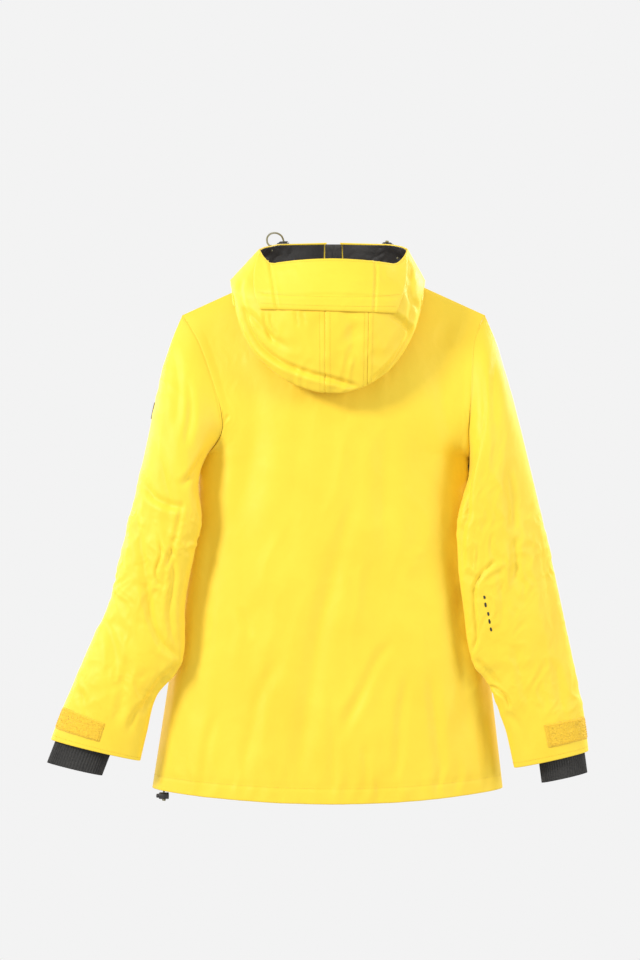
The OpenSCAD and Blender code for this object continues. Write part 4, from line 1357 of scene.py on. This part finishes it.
SLEEVE_FOLDS = {
    LEFT: [
        ([(284, -300), (262, -330), (236, -342), (214, -344)], 5.0, 10, 0.4, 0.4, 0.25),
        ([(262, -240), (246, -300), (236, -352), (248, -420)], 3.6, 12, 0.2, -0.4),
        ([(292, -330), (282, -400), (272, -460), (258, -520)], 4.5, 11, 0.3, 0.4, 0.25),
        ([(222, -566), (250, -540), (268, -500), (276, -452)], 5.0, 9, 0.4, -0.3, 0.25),
        ([(224, -572), (246, -592), (268, -622), (282, -652)], 4.0, 9, 0.4, 0.3, 0.25),
        ([(240, -380), (232, -440), (238, -500), (228, -556)], 3.4, 8, 0.4, 0.3),
        ([(218, -330), (230, -390), (246, -440)], 3.0, 7, 0.5, 0.2),
        ([(258, -380), (250, -410), (258, -440), (246, -468)], 2.4, 5, 0.6, 0),
        ([(336, -500), (322, -540), (316, -590)], 3.6, 12, 0.2, 0.3),
        ([(300, -560), (306, -620), (318, -668)], 3.0, 12, 0.2, -0.3),
        ([(262, -620), (288, -642), (300, -680)], 2.8, 8, 0.3, 0.3),
        ([(236, -110), (228, -170), (232, -240)], 3.4, 14, 0.1, 0.4),
        ([(214, -150), (206, -200), (216, -262)], 3.0, 10, 0.2, -0.3),
        ([(178, -250), (200, -290), (224, -316)], 4.0, 9, 0.3, 0.3),
        ([(372, -600), (360, -640), (356, -690)], 2.4, 9, 0.2, 0.3),
    ],
    RIGHT: [
        ([(-236, -421), (-220, -434), (-208, -449), (-203, -465), (-204, -495), (-207, -532),
          (-200, -557)], 3.6, 6, 0.55, -0.3, 0.12),
        ([(-210, -242), (-195, -307), (-194, -357), (-187, -381), (-189, -455)], 4.6, 8, 0.3,
         -0.4, 0.2),
        ([(-260, -385), (-262, -420), (-258, -462)], 4.2, 10, 0.2, 0.4),
        ([(-252, -270), (-256, -330), (-260, -388)], 3.6, 12, 0.1, 0.4),
        ([(-236, -424), (-244, -468), (-240, -520)], 2.0, 9, 0.1, 0.3),
        ([(-222, -603), (-236, -609), (-249, -619), (-258, -640)], 3.4, 5, 0.6, 0.2, 0.25),
        ([(-204, -562), (-222, -582), (-240, -604)], 3.2, 7, 0.4, 0.3),
        ([(-262, -540), (-270, -590), (-286, -640)], 3.0, 12, 0.1, 0.3),
        ([(-320, -560), (-330, -610), (-334, -650)], 3.0, 11, 0.1, -0.3),
        ([(-240, -110), (-234, -180), (-238, -250)], 3.4, 14, 0.1, -0.4),
        ([(-300, -400), (-312, -470), (-326, -560)], 2.8, 14, 0.1, 0.4),
        ([(-214, -140), (-216, -200), (-210, -250)], 2.6, 9, 0.2, 0.3),
        ([(-252, -640), (-270, -668), (-282, -704)], 2.8, 9, 0.2, 0.3),
    ],
}


def sleeve_grid(side, rows, angles):
    """Displaced sleeve over angles that run so that the outside of the grid is the outside."""
    grid = left_turned(side, sleeve(side, rows[:, None], angles[None]))
    x, z = grid[..., 0], grid[..., 2]
    facing = outward(grid)[..., 1]
    back = smoothstep(facing * 1.4 + 0.35)
    front = smoothstep(-facing * 1.4 + 0.1)
    height = folds(x, z, SLEEVE_FOLDS[side], 1.3) * back
    height += folds(x + 9 * side, z + 24, SLEEVE_FOLDS[side], 1.2) * front
    height += 2.2 * broad_noise(x / 46 + side, z / 120) + crumple(x, z, 34, 1.7, 1.1, 4 + side)
    elbow = np.exp(-((z + 430) / 105) ** 2) + 0.5 * np.exp(-((z + 610) / 50) ** 2)
    height += (crumple(x, z, 15, 2.2, 1.4, 9 + side) + crumple(x, z, 8, 1.6, 0.6, side)) * elbow
    calm = smoothstep((rows - 0.02) / 0.12) * (1 - 0.75 * smoothstep((rows - 0.86) / 0.06))
    seam = smoothstep(np.minimum(np.abs(angles), 180 - np.abs(angles)) / 7)
    seam = seam[::-1] if side == LEFT else seam
    return moved(grid, height * calm[:, None] * seam[None])


SLEEVE_ROWS = edged(SLEEVE_TOP, 1, 300, 640)
SLEEVE_ANGLES = edged(0, 180, 84, 180)


def sleeve_blend(piece, side):
    """Bakes the piece's placement into its mesh."""
    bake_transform(piece)


def make_sleeve(side):
    name = SIDE_NAME[side]
    back = sleeve_grid(side, SLEEVE_ROWS, SLEEVE_ANGLES)
    front = sleeve_grid(side, SLEEVE_ROWS, -SLEEVE_ANGLES[::-1])
    cuff_row = len(SLEEVE_ROWS) - 9
    places = []
    for grid, half in ((back, "back"), (front, "front")):
        shell = sheet_object(f"{name}_arm_{half}", rolled(grid, 0.3, 1.4, 0.4, 0.4), SHELL_T,
                             SHELL)
        bind(shell, "shell", f"{name}_sleeve_{half}")
        sleeve_blend(shell, side)
        places += seams(grid, (cuff_row, 5))
    stitch = stitching(f"{name}_arm_stitching", places)
    sleeve_blend(stitch, side)
    rows, cols = slice(14, -12), slice(3, -3)
    for grid, half in ((back, "back"), (front, "front")):
        lining = sheet_object(f"{name}_arm_lining_{half}", sewn(grid, rows, cols, 4.0),
                              LINING_T, LINING)
        bind(lining, "lining", f"{name}_sleeve_lining")
        sleeve_blend(lining, side)


GAITER_SHARE, GAITER_SHIFT, GAITER_DEPTH = 0.6, 0.36, 0.62
GAITER_LENGTH = (34, 30)
GAITER_RIBS = 56


def make_gaiter(side):
    """Ribbed stretch cuff that shows below the sleeve."""
    name = SIDE_NAME[side]
    lines = [np.array(line, float) for line in SLEEVE_LINES[side]]
    axis = unit(lines[0][-1] - lines[0][-2])
    k = np.linspace(0, 2, 34)[:, None]
    a = np.arange(GAITER_RIBS * 6)[None] * 360 / (GAITER_RIBS * 6)
    t = lerp(0.9, 1, np.minimum(k, 1))
    outer, inner = along(lines[0], t), along(lines[1], t)
    reach = (outer - inner) / 2 * GAITER_SHARE
    rib = 1 + 0.03 * np.sin(np.radians(a) * GAITER_RIBS)
    grid = lerp(outer, inner, GAITER_SHIFT) + (cos_d(a) * rib)[..., None] * reach
    grid = grid + np.maximum(k - 1, 0)[..., None] * axis * pick(side, GAITER_LENGTH)
    grid[..., 1] += sin_d(a) * rib * along(SLEEVE_DEPTHS, t) * GAITER_DEPTH
    piece = sheet_object(f"{name}_cuff_gaiter", left_turned(side, grid), SHELL_T, KNIT,
                         wrap=True)
    bind(piece, "gaiter_knit", f"{name}_gaiter", f"{name}_sleeve")


def strip_on_sleeve(side, t0, t1, a0, a1, across, down):
    rows = np.linspace(t0, t1, down)
    return left_turned(side, sleeve(side, rows[:, None], np.linspace(a0, a1, across)[None]))


def framed(grid, inset, lift):
    """Closed line just inside the edge of a grid, with its normals, for a border of stitches."""
    normal = outward(grid)
    r, c = inset
    index = ([(r, k) for k in range(c, grid.shape[1] - c)]
             + [(k, grid.shape[1] - 1 - c) for k in range(r, grid.shape[0] - r)]
             + [(grid.shape[0] - 1 - r, k) for k in range(grid.shape[1] - 1 - c, c - 1, -1)]
             + [(k, c) for k in range(grid.shape[0] - 1 - r, r - 1, -1)])
    rows, cols = zip(*index)
    return grid[rows, cols] + normal[rows, cols] * lift, normal[rows, cols]


# Patch and tab lie between two shares of the sleeve's length and two angles round it.
CUFF_SPAN = (0.905, 0.955)
PATCH_TURN, TAB_TURN = (12, 92), (-118, -34)
PATCH_T, PATCH_LIFT, PATCH_STITCH_LIFT = 1.3, 2.0, 2.3
TAB_LIFT, TAB_STITCH_LIFT = 2.4, 2.5


def make_cuff_details(side):
    name = SIDE_NAME[side]
    patch = strip_on_sleeve(side, *CUFF_SPAN, *PATCH_TURN, 84, 44)
    x, z = patch[..., 0], patch[..., 2]
    fuzz = 0.55 * fine_noise(x * 0.8, z * 0.8) + 0.4 * warp_noise(x * 1.6, z * 1.6)
    cloth = hemmed(moved(patch, fuzz), 1.0)
    pile = sheet_object(f"{name}_loop_patch", cloth, PATCH_T, PILE,
                        PATCH_LIFT)
    border = stitching(f"{name}_patch_stitching",
                       stitch_line(*framed(patch, (3, 3), PATCH_STITCH_LIFT)), PILE)
    for piece in (pile, border):
        bind(piece, "loop_tape", body=f"{name}_sleeve")
    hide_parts(f"{name}_cuff_patch")
    tab = strip_on_sleeve(side, *CUFF_SPAN, *TAB_TURN, 70, 24)
    tab_cloth = hemmed(tab, 0.7)
    strap = sheet_object(f"{name}_tab_strap", tab_cloth, SHELL_T, SHELL,
                         TAB_LIFT)
    line = stitching(f"{name}_tab_stitching",
                     stitch_line(*framed(tab, (3, 4), TAB_STITCH_LIFT)))
    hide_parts(f"{name}_cuff_tab")
    for piece in (strap, line):
        bind(piece, "shell", body=f"{name}_cuff_tab")


BADGE_SPAN, BADGE_TURN = (0.29, 0.333), (-30, 4)
BADGE_T, BADGE_LIFT = 1.2, 1.9


def make_badge():
    grid = strip_on_sleeve(LEFT, *BADGE_SPAN, *BADGE_TURN, 30, 20)
    piece = sheet_object("plain_arm_tab", hemmed(grid, 0.4), BADGE_T, WEBBING,
                         BADGE_LIFT)
    bind(piece, "webbing", "arm_badge")
    sleeve_blend(piece, LEFT)


DASHES = 5
DASH_LENGTH, DASH_RADIUS = 7.5, 0.9
DASH_START, DASH_STEP = np.array([-218, -474]), np.array([-2.4, -11.5])


def make_forearm_print():
    """Plain dashes printed down the right forearm, in place of any word or mark."""
    dash, dash_faces = pill(DASH_LENGTH, DASH_RADIUS, rings=6, sides=8)
    centre = sleeve_grid(RIGHT, SLEEVE_ROWS, SLEEVE_ANGLES)
    normal = outward(centre)
    places = []
    for k in range(DASHES):
        x, z = DASH_START + DASH_STEP * k
        near = np.hypot(centre[..., 0] - x, centre[..., 2] - z)
        row, col = np.unravel_index(np.argmin(near), near.shape)
        ahead = centre[row + 3, col] - centre[row, col]
        places.append(frame_at(centre[row, col] + normal[row, col] * 0.12, ahead,
                               normal[row, col], (1, 1.7, 0.3)))
    piece = instanced("forearm_print", dash, dash_faces, places, PLASTIC)
    sleeve_blend(piece, RIGHT)


for side in (LEFT, RIGHT):
    make_sleeve(side)
    make_gaiter(side)
    make_cuff_details(side)
make_badge()
make_forearm_print()


# ---- zips ----------

TAPE_T, BEAD_T = 0.8, 1.6
ROOF_Y = -TAPE_T - BEAD_T - 0.45
ROOF_T = 1.8
BAIL = (0, ROOF_Y - ROOF_T - 1.9, -5.5)
SLIDER_START = -3.5
SLIDER_LENGTH = 11
SLIDER_HALF = 4.4
SLIDER_WAIST = 3.4
SLIDER_NOSE = 3.2


def turn_z(degrees):
    return Matrix.Rotation(math.radians(degrees), 4, "Z")


def turn_y(degrees):
    return Matrix.Rotation(math.radians(degrees), 4, "Y")


def placed(x, y, z, turn=None):
    """Where a zip lies, as a matrix in millimetres."""
    return Matrix.Translation((x, y, z)) @ (turn or Matrix.Identity(4))


FRONT_ZIP = placed(0, -FRONT_DEPTH + SHELL_T + 0.8, COLLAR_HEIGHT - 3)
FRONT_ZIP_LENGTH = SIDE_LENGTH + HEM_DIP + COLLAR_HEIGHT - 3 - 6
ZIPS = {"front_zip": (FRONT_ZIP, FRONT_ZIP_LENGTH, 12.5, 16)}
for side in (LEFT, RIGHT):
    ZIPS[f"{SIDE_NAME[side]}_pocket"] = (
        placed(side * POCKET_X, -60.4, POCKET_TOP, turn_z(side * 8)), POCKET_LENGTH, 7, 10)
    ZIPS[f"{SIDE_NAME[side]}_pit"] = (
        placed(side * 197, -27, -292, turn_y(-side * 6.1) @ turn_z(side * 53)), 130, 7, 10)


def carried(points, place):
    array = np.array(place)
    return points @ array[:3, :3].T + array[:3, 3]


def box_part(half, centre):
    """A box as eight points and six faces, for shapes that are bevelled afterwards."""
    signs = np.array([[x, y, z] for x in (-1, 1) for y in (-1, 1) for z in (-1, 1)], float)
    faces = [(0, 1, 3, 2), (4, 6, 7, 5), (0, 4, 5, 1), (2, 3, 7, 6), (0, 2, 6, 4), (1, 5, 7, 3)]
    return signs * half + centre, faces


def joined(name, parts, material, place, bevel):
    """Object made of several closed parts, each with softened edges."""
    points, faces = [], []
    for part_points, part_faces in parts:
        faces += [tuple(i + len(points) for i in f) for f in part_faces]
        points += list(carried(np.asarray(part_points, float), place))
    obj = closed_object(name, points, faces, material)
    applied(obj, ("BEVEL", {"width": bevel * MM, "segments": 3, "limit_method": "ANGLE",
                            "angle_limit": math.radians(50)}))
    obj.data.polygons.foreach_set("use_smooth", [True] * len(obj.data.polygons))
    return obj


def mirrored(right, lead):
    """Whole outline from its right half; it starts lead points up the left half."""
    left = [(-x, z) for x, z in right]
    return left[lead - 1::-1] + right + left[:lead - 1:-1]


def outline_part(outline, y0, y1):
    """A plate with that outline in X and Z, between two depths."""
    n = len(outline)
    points = [(x, y, z) for y in (y0, y1) for x, z in outline]
    faces = [tuple(range(n)), tuple(range(2 * n - 1, n - 1, -1))]
    faces += [(k, (k + 1) % n, (k + 1) % n + n, k + n) for k in range(n)]
    return np.array(points, float), faces


COIL_PITCH = 2.3


def make_zip(name, place, length, tape_edge):
    """Both tapes with their sewn edges and coil, one object for each side."""
    coil, coil_faces = pill(2.5, 0.62, rings=5, sides=7)
    spots = np.arange(1.2, length - 1, COIL_PITCH)
    made = []
    for side in (LEFT, RIGHT):
        u = np.linspace(0.0, tape_edge, 9)
        v = np.linspace(0, -length, max(int(length / 5), 8))
        v, u = np.meshgrid(v, u, indexing="ij")
        ridge = 0.22 * np.exp(-((u - 3.6) / 0.5) ** 2)
        grid = point(side * u, -TAPE_T - ridge, v)
        grid = grid if side == RIGHT else grid[:, ::-1]
        tape = sheet_object(f"{name}_tape_{SIDE_NAME[side]}", carried(grid, place), TAPE_T,
                            ZIP_TAPE)
        array = np.array(place)
        shift = 0 if side == LEFT else COIL_PITCH / 2
        places = []
        for z in spots + shift:
            local = frame_at((side * 1.35, -TAPE_T - 0.85, -z), (1, 0, 0.16 * side), (0, -1, 0),
                             (1, 1, 1.15))
            places.append(array @ local)
        teeth = instanced(f"{name}_coil_{SIDE_NAME[side]}", coil, coil_faces, places, COIL)
        made.append((tape, teeth))
    return made


def slider_parts():
    top = ROOF_Y - ROOF_T
    right = [(SLIDER_NOSE, 0), (SLIDER_HALF, -1.6), (SLIDER_HALF, -5.5),
             (SLIDER_WAIST, -SLIDER_LENGTH)]
    parts = [outline_part(mirrored(right, 2), ROOF_Y, top)]
    for side in (LEFT, RIGHT):
        parts.append(box_part((0.8, 0.75, 4.6), (side * 3.5, ROOF_Y + 0.7, -5.4)))
        parts.append(box_part((0.5, 1.3, 1.4), (side * 2.75, top - 1.1, -5.5)))
    parts.append(box_part((3.1, 0.62, 0.62), (0, BAIL[1], BAIL[2])))
    return parts


def make_slider(node, place, body):
    slider = joined(f"{node}_shaped", slider_parts(), METAL,
                    place @ Matrix.Translation((0, 0, SLIDER_START)), 0.35)
    bind(slider, "slider_metal", node, body)


RING_SIDES = 24


def ring_part(centre, radius, thick, half):
    """Flat ring round the X axis, as a closed mesh part."""
    points, faces = [], []
    for k in range(RING_SIDES):
        turn = 2 * math.pi * k / RING_SIDES
        for r, x in ((radius, -half), (radius, half), (radius + thick, half),
                     (radius + thick, -half)):
            points.append((centre[0] + x, centre[1] + r * math.cos(turn),
                           centre[2] + r * math.sin(turn)))
    for k in range(RING_SIDES):
        a, b = 4 * k, 4 * ((k + 1) % RING_SIDES)
        faces += [(a + j, a + (j + 1) % 4, b + (j + 1) % 4, b + j) for j in range(4)]
    return np.array(points), faces


GRIP_HALF, GRIP_DEEP = 3.1, 1.15


def make_pull(node, place, body, length):
    """Pull: an eye round the bail, a neck and a ribbed grip."""
    _, y, z = BAIL
    neck_end = z - length
    parts = [ring_part(BAIL, 1.1, 0.7, 1.8),
             box_part((1.5, 0.62, (length - 1.9) / 2 - 0.2), (0, y, z - 1.9 - (length - 1.9) / 2))]
    right = [(2.0, neck_end + 1), (GRIP_HALF, neck_end - 2), (GRIP_HALF, neck_end - 13.5),
             (2.1, neck_end - 15.8)]
    parts.append(outline_part(mirrored(right, 1), y + GRIP_DEEP, y - GRIP_DEEP))
    for k in range(5):
        parts.append(box_part((2.3, 0.35, 0.5), (0, y - GRIP_DEEP, neck_end - 3.6 - 2.1 * k)))
    pull = joined(f"{node}_shaped", parts, RUBBER,
                  place @ Matrix.Translation((0, 0, SLIDER_START)), 0.3)
    bind(pull, "pull", node, body)


def make_zips():
    for name, (place, length, tape_edge, pull_length) in ZIPS.items():
        halves = make_zip(name, place, length, tape_edge)
        for side, (tape, teeth) in zip((LEFT, RIGHT), halves):
            node = f"front_zip_{SIDE_NAME[side]}" if name == "front_zip" else f"{name}_zip"
            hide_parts(node)
            for piece in (tape, teeth):
                bind(piece, "zip_tape", body="jacket")
        slider, pull = f"{name}_slider", f"{name}_pull"
        make_slider(slider, place, slider)
        make_pull(pull, place, pull, pull_length)
        ends = [(2.2, 0.8, 1.4, 0, -TAPE_T - 0.8, -1.3)]
        if name == "front_zip":
            ends.append((2.4, 1.2, 3.2, 0, -1.3, -length - 2.6))
        else:
            ends.append((2.2, 0.8, 1.4, 0, -TAPE_T - 0.8, -length + 1.5))
        parts = [box_part(e[:3], e[3:]) for e in ends]
        stops = joined(f"{name}_stops", parts, PLASTIC, place, 0.4)
        bind(stops, "hardware", body="jacket")


make_zips()


# ---- cord locks and snaps ----------

LOCK_D, LOCK_LENGTH = 10, 14.5
BORE_R, BUTTON_R, BUTTON_OUT = 3.2, 3.0, 4.0
BORE_FLOOR, SPRING_LENGTH, WIRE_TURN_R, WIRE_R = 1.5, 3.4, 2.35, 0.28
SPRING_TURNS = 4
BUTTON_TRAVEL = 2.5
SHARP_ANGLE = 40
LOCKS = {
    "left_hood": placed(74, -64, 47, turn_z(-30)),
    "right_hood": placed(-80, -58, 45, turn_z(212)),
    "hem": placed(*HEM_TAIL, -767),
}


def lathe_part(profile, sides=40):
    """Closed part turned round the X axis from a profile of (x, radius)."""
    points, faces = [], []
    for x, r in profile:
        for k in range(sides):
            turn = 2 * math.pi * k / sides
            points.append((x, r * math.cos(turn), r * math.sin(turn)))
    n = len(profile)
    for j in range(n - 1):
        for k in range(sides):
            a, b = j * sides + k, j * sides + (k + 1) % sides
            faces.append((a, b, b + sides, a + sides))
    faces.append(tuple(range(sides))[::-1])
    faces.append(tuple((n - 1) * sides + k for k in range(sides)))
    return np.array(points), faces


def raw_object(name, part, material, place):
    points, faces = part
    return closed_object(name, carried(points, place), faces, material)


def cut(obj, *cutters):
    """Takes the cutters away from an object and removes them."""
    applied(obj, *[("BOOLEAN", {"object": c, "operation": "DIFFERENCE", "solver": "EXACT"})
                   for c in cutters])
    for c in cutters:
        bpy.data.objects.remove(c)
    return obj


def smooth_by_angle(obj):
    obj.data.polygons.foreach_set("use_smooth", [True] * len(obj.data.polygons))
    obj.data.set_sharp_from_angle(angle=math.radians(SHARP_ANGLE))


def make_lock(name, place):
    half, r = LOCK_LENGTH / 2, LOCK_D / 2
    profile = [(-half, r - 1.2), (-half + 0.35, r - 0.5), (-half + 1.2, r)]
    for k in range(3):
        x = -half + 2.2 + 1.5 * k
        profile += [(x, r), (x + 0.2, r - 0.35), (x + 0.7, r - 0.35), (x + 0.9, r)]
    profile += [(half - 1.6, r), (half - 0.5, r - 0.45), (half, r - 1.1)]
    body = raw_object(f"{name}_lock_barrel", lathe_part(profile), PLASTIC, place)
    bore = raw_object("bore", lathe_part([(-half + BORE_FLOOR, BORE_R), (half + 2, BORE_R)]),
                      PLASTIC, place)
    across = place @ Matrix.Rotation(math.radians(90), 4, "Y")
    hole = raw_object("hole", lathe_part([(-LOCK_D, 2), (LOCK_D, 2)], 28), PLASTIC, across)
    cut(body, bore, hole)
    start = -half + BORE_FLOOR + SPRING_LENGTH
    end = half + BUTTON_OUT
    profile = [(start, BUTTON_R), (end - 1.6, BUTTON_R), (end - 0.7, BUTTON_R - 0.25),
               (end - 0.15, BUTTON_R - 0.9), (end, BUTTON_R - 1.6)]
    button = raw_object(f"{name}_lock_plunger", lathe_part(profile), PLASTIC, place)
    slot = box_part((1.8 + BUTTON_TRAVEL / 2, 1.7, LOCK_D), (0.1 + BUTTON_TRAVEL / 2, 0, 0))
    cut(button, raw_object("slot", slot, PLASTIC, place))
    turns = np.linspace(0, 1, 120)
    angle = turns * SPRING_TURNS * 2 * math.pi
    wire = point(-half + BORE_FLOOR + 0.35 + turns * (SPRING_LENGTH - 0.7),
                 WIRE_TURN_R * np.cos(angle), WIRE_TURN_R * np.sin(angle))
    spring = tube(f"{name}_lock_spring", carried(wire, place), WIRE_R, STEEL, sides=8)
    for piece in (body, button):
        smooth_by_angle(piece)
    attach(body, "jacket")
    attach(button, f"{name}_button")
    bind(spring, "spring", body="jacket")
    axis = np.array(place)[:3, 0]
    anchor = carried(np.array([-half + BORE_FLOOR, 0, 0]), place) * MM
    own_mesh(spring)
    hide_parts(f"{name}_lock")
    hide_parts(f"{name}_button")
    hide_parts(f"{name}_spring")


def make_snaps():
    low, high = node_box("skirt_snaps")
    radius = 5.5
    profile = [(0, radius - 0.5), (0.5, radius), (1.1, radius), (1.5, radius - 0.7),
               (1.2, radius - 1.6), (0.7, 2.2), (0.7, 0.8)]
    turn_to_back = Matrix.Rotation(math.radians(90), 4, "Z")
    parts = []
    for x in (low[0] + radius, high[0] - radius):
        for z in (low[2] + radius, high[2] - radius):
            points, faces = lathe_part(profile, 32)
            parts.append((carried(points, placed(x, low[1], z, turn_to_back)), faces))
    snaps = joined("skirt_snap_caps", parts, METAL, Matrix.Identity(4), 0.1)
    bind(snaps, "hardware", "skirt_snaps", "jacket")


for name, place in LOCKS.items():
    make_lock(name, place)
make_snaps()


# ---- stage ----------

FLOOR_Z = -1.25
FLOOR_SIDES, FLOOR_RADIUS = 96, 2.4
BACKDROP_GREY = 0.896
AMBIENT = 0.66
# Place in metres, diameter in metres and power in watts of each lamp.
LIGHTS = {
    "key": ((3.0, 2.2, 1.5), 0.9, 122), "fill": ((-3.0, 2.0, 0.6), 1.6, 54),
    "front_key": ((-3.0, -2.2, 1.5), 0.9, 122), "front_fill": ((3.0, -2.0, 0.6), 1.6, 54),
}
LIGHT_AIM = (0, 0, -0.4)


def make_floor():
    """Round pale floor whose edge fades into the backdrop."""
    mesh = bpy.data.meshes.new("floor")
    turns = [2 * math.pi * k / FLOOR_SIDES for k in range(FLOOR_SIDES)]
    ring = [(FLOOR_RADIUS * math.cos(t), FLOOR_RADIUS * math.sin(t), FLOOR_Z) for t in turns]
    mesh.from_pydata(ring, [], [tuple(range(FLOOR_SIDES))])
    s = Shader("pale_floor", (0.5, 0.5, 0.5), 0.9)
    place = s.space_place()
    length = s.add("ShaderNodeVectorMath", operation="LENGTH")
    flat = s.add("ShaderNodeVectorMath", operation="MULTIPLY")
    flat.inputs[1].default_value = (1, 1, 0)
    s.link(place, flat.inputs[0])
    s.link(flat.outputs[0], length.inputs[0])
    fade = s.add("ShaderNodeMapRange", interpolation_type="SMOOTHSTEP")
    for key, value in (("From Min", 0.7), ("From Max", 1.5), ("To Min", 1), ("To Max", 0)):
        fade.inputs[key].default_value = value
    s.link(length.outputs["Value"], fade.inputs["Value"])
    s.link(fade.outputs[0], s.surface.inputs["Alpha"])
    floor = add_object("floor", mesh, s.material)
    floor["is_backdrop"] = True


def make_light(name, location, size, power):
    data = bpy.data.lights.new(name, "AREA")
    data.shape = "DISK"
    data.size = size
    data.energy = power
    light = bpy.data.objects.new(name, data)
    light.location = location
    aim = Vector(LIGHT_AIM) - Vector(location)
    light.rotation_euler = aim.to_track_quat("-Z", "Y").to_euler()
    bpy.context.collection.objects.link(light)


def make_world(ambient):
    """Even grey light all round; the backdrop behind the jacket is a lighter plain grey."""
    world = bpy.data.worlds.new("studio")
    bpy.context.scene.world = world
    world.use_nodes = True
    nodes, links = world.node_tree.nodes, world.node_tree.links
    light = nodes["Background"]
    light.inputs["Color"].default_value = (1, 1, 1, 1)
    light.inputs["Strength"].default_value = ambient
    backdrop = nodes.new("ShaderNodeBackground")
    backdrop.inputs["Color"].default_value = (1, 1, 1, 1)
    backdrop.inputs["Strength"].default_value = BACKDROP_GREY
    path, mix = nodes.new("ShaderNodeLightPath"), nodes.new("ShaderNodeMixShader")
    links.new(path.outputs["Is Camera Ray"], mix.inputs[0])
    links.new(light.outputs[0], mix.inputs[1])
    links.new(backdrop.outputs[0], mix.inputs[2])
    links.new(mix.outputs[0], nodes["World Output"].inputs["Surface"])


make_floor()
make_world(AMBIENT)
for name, light in LIGHTS.items():
    make_light(name, *light)
bpy.context.scene.view_settings.view_transform = "Standard"

for low, high in (cad_box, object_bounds()):
    json.dumps([list(low), list(high)])
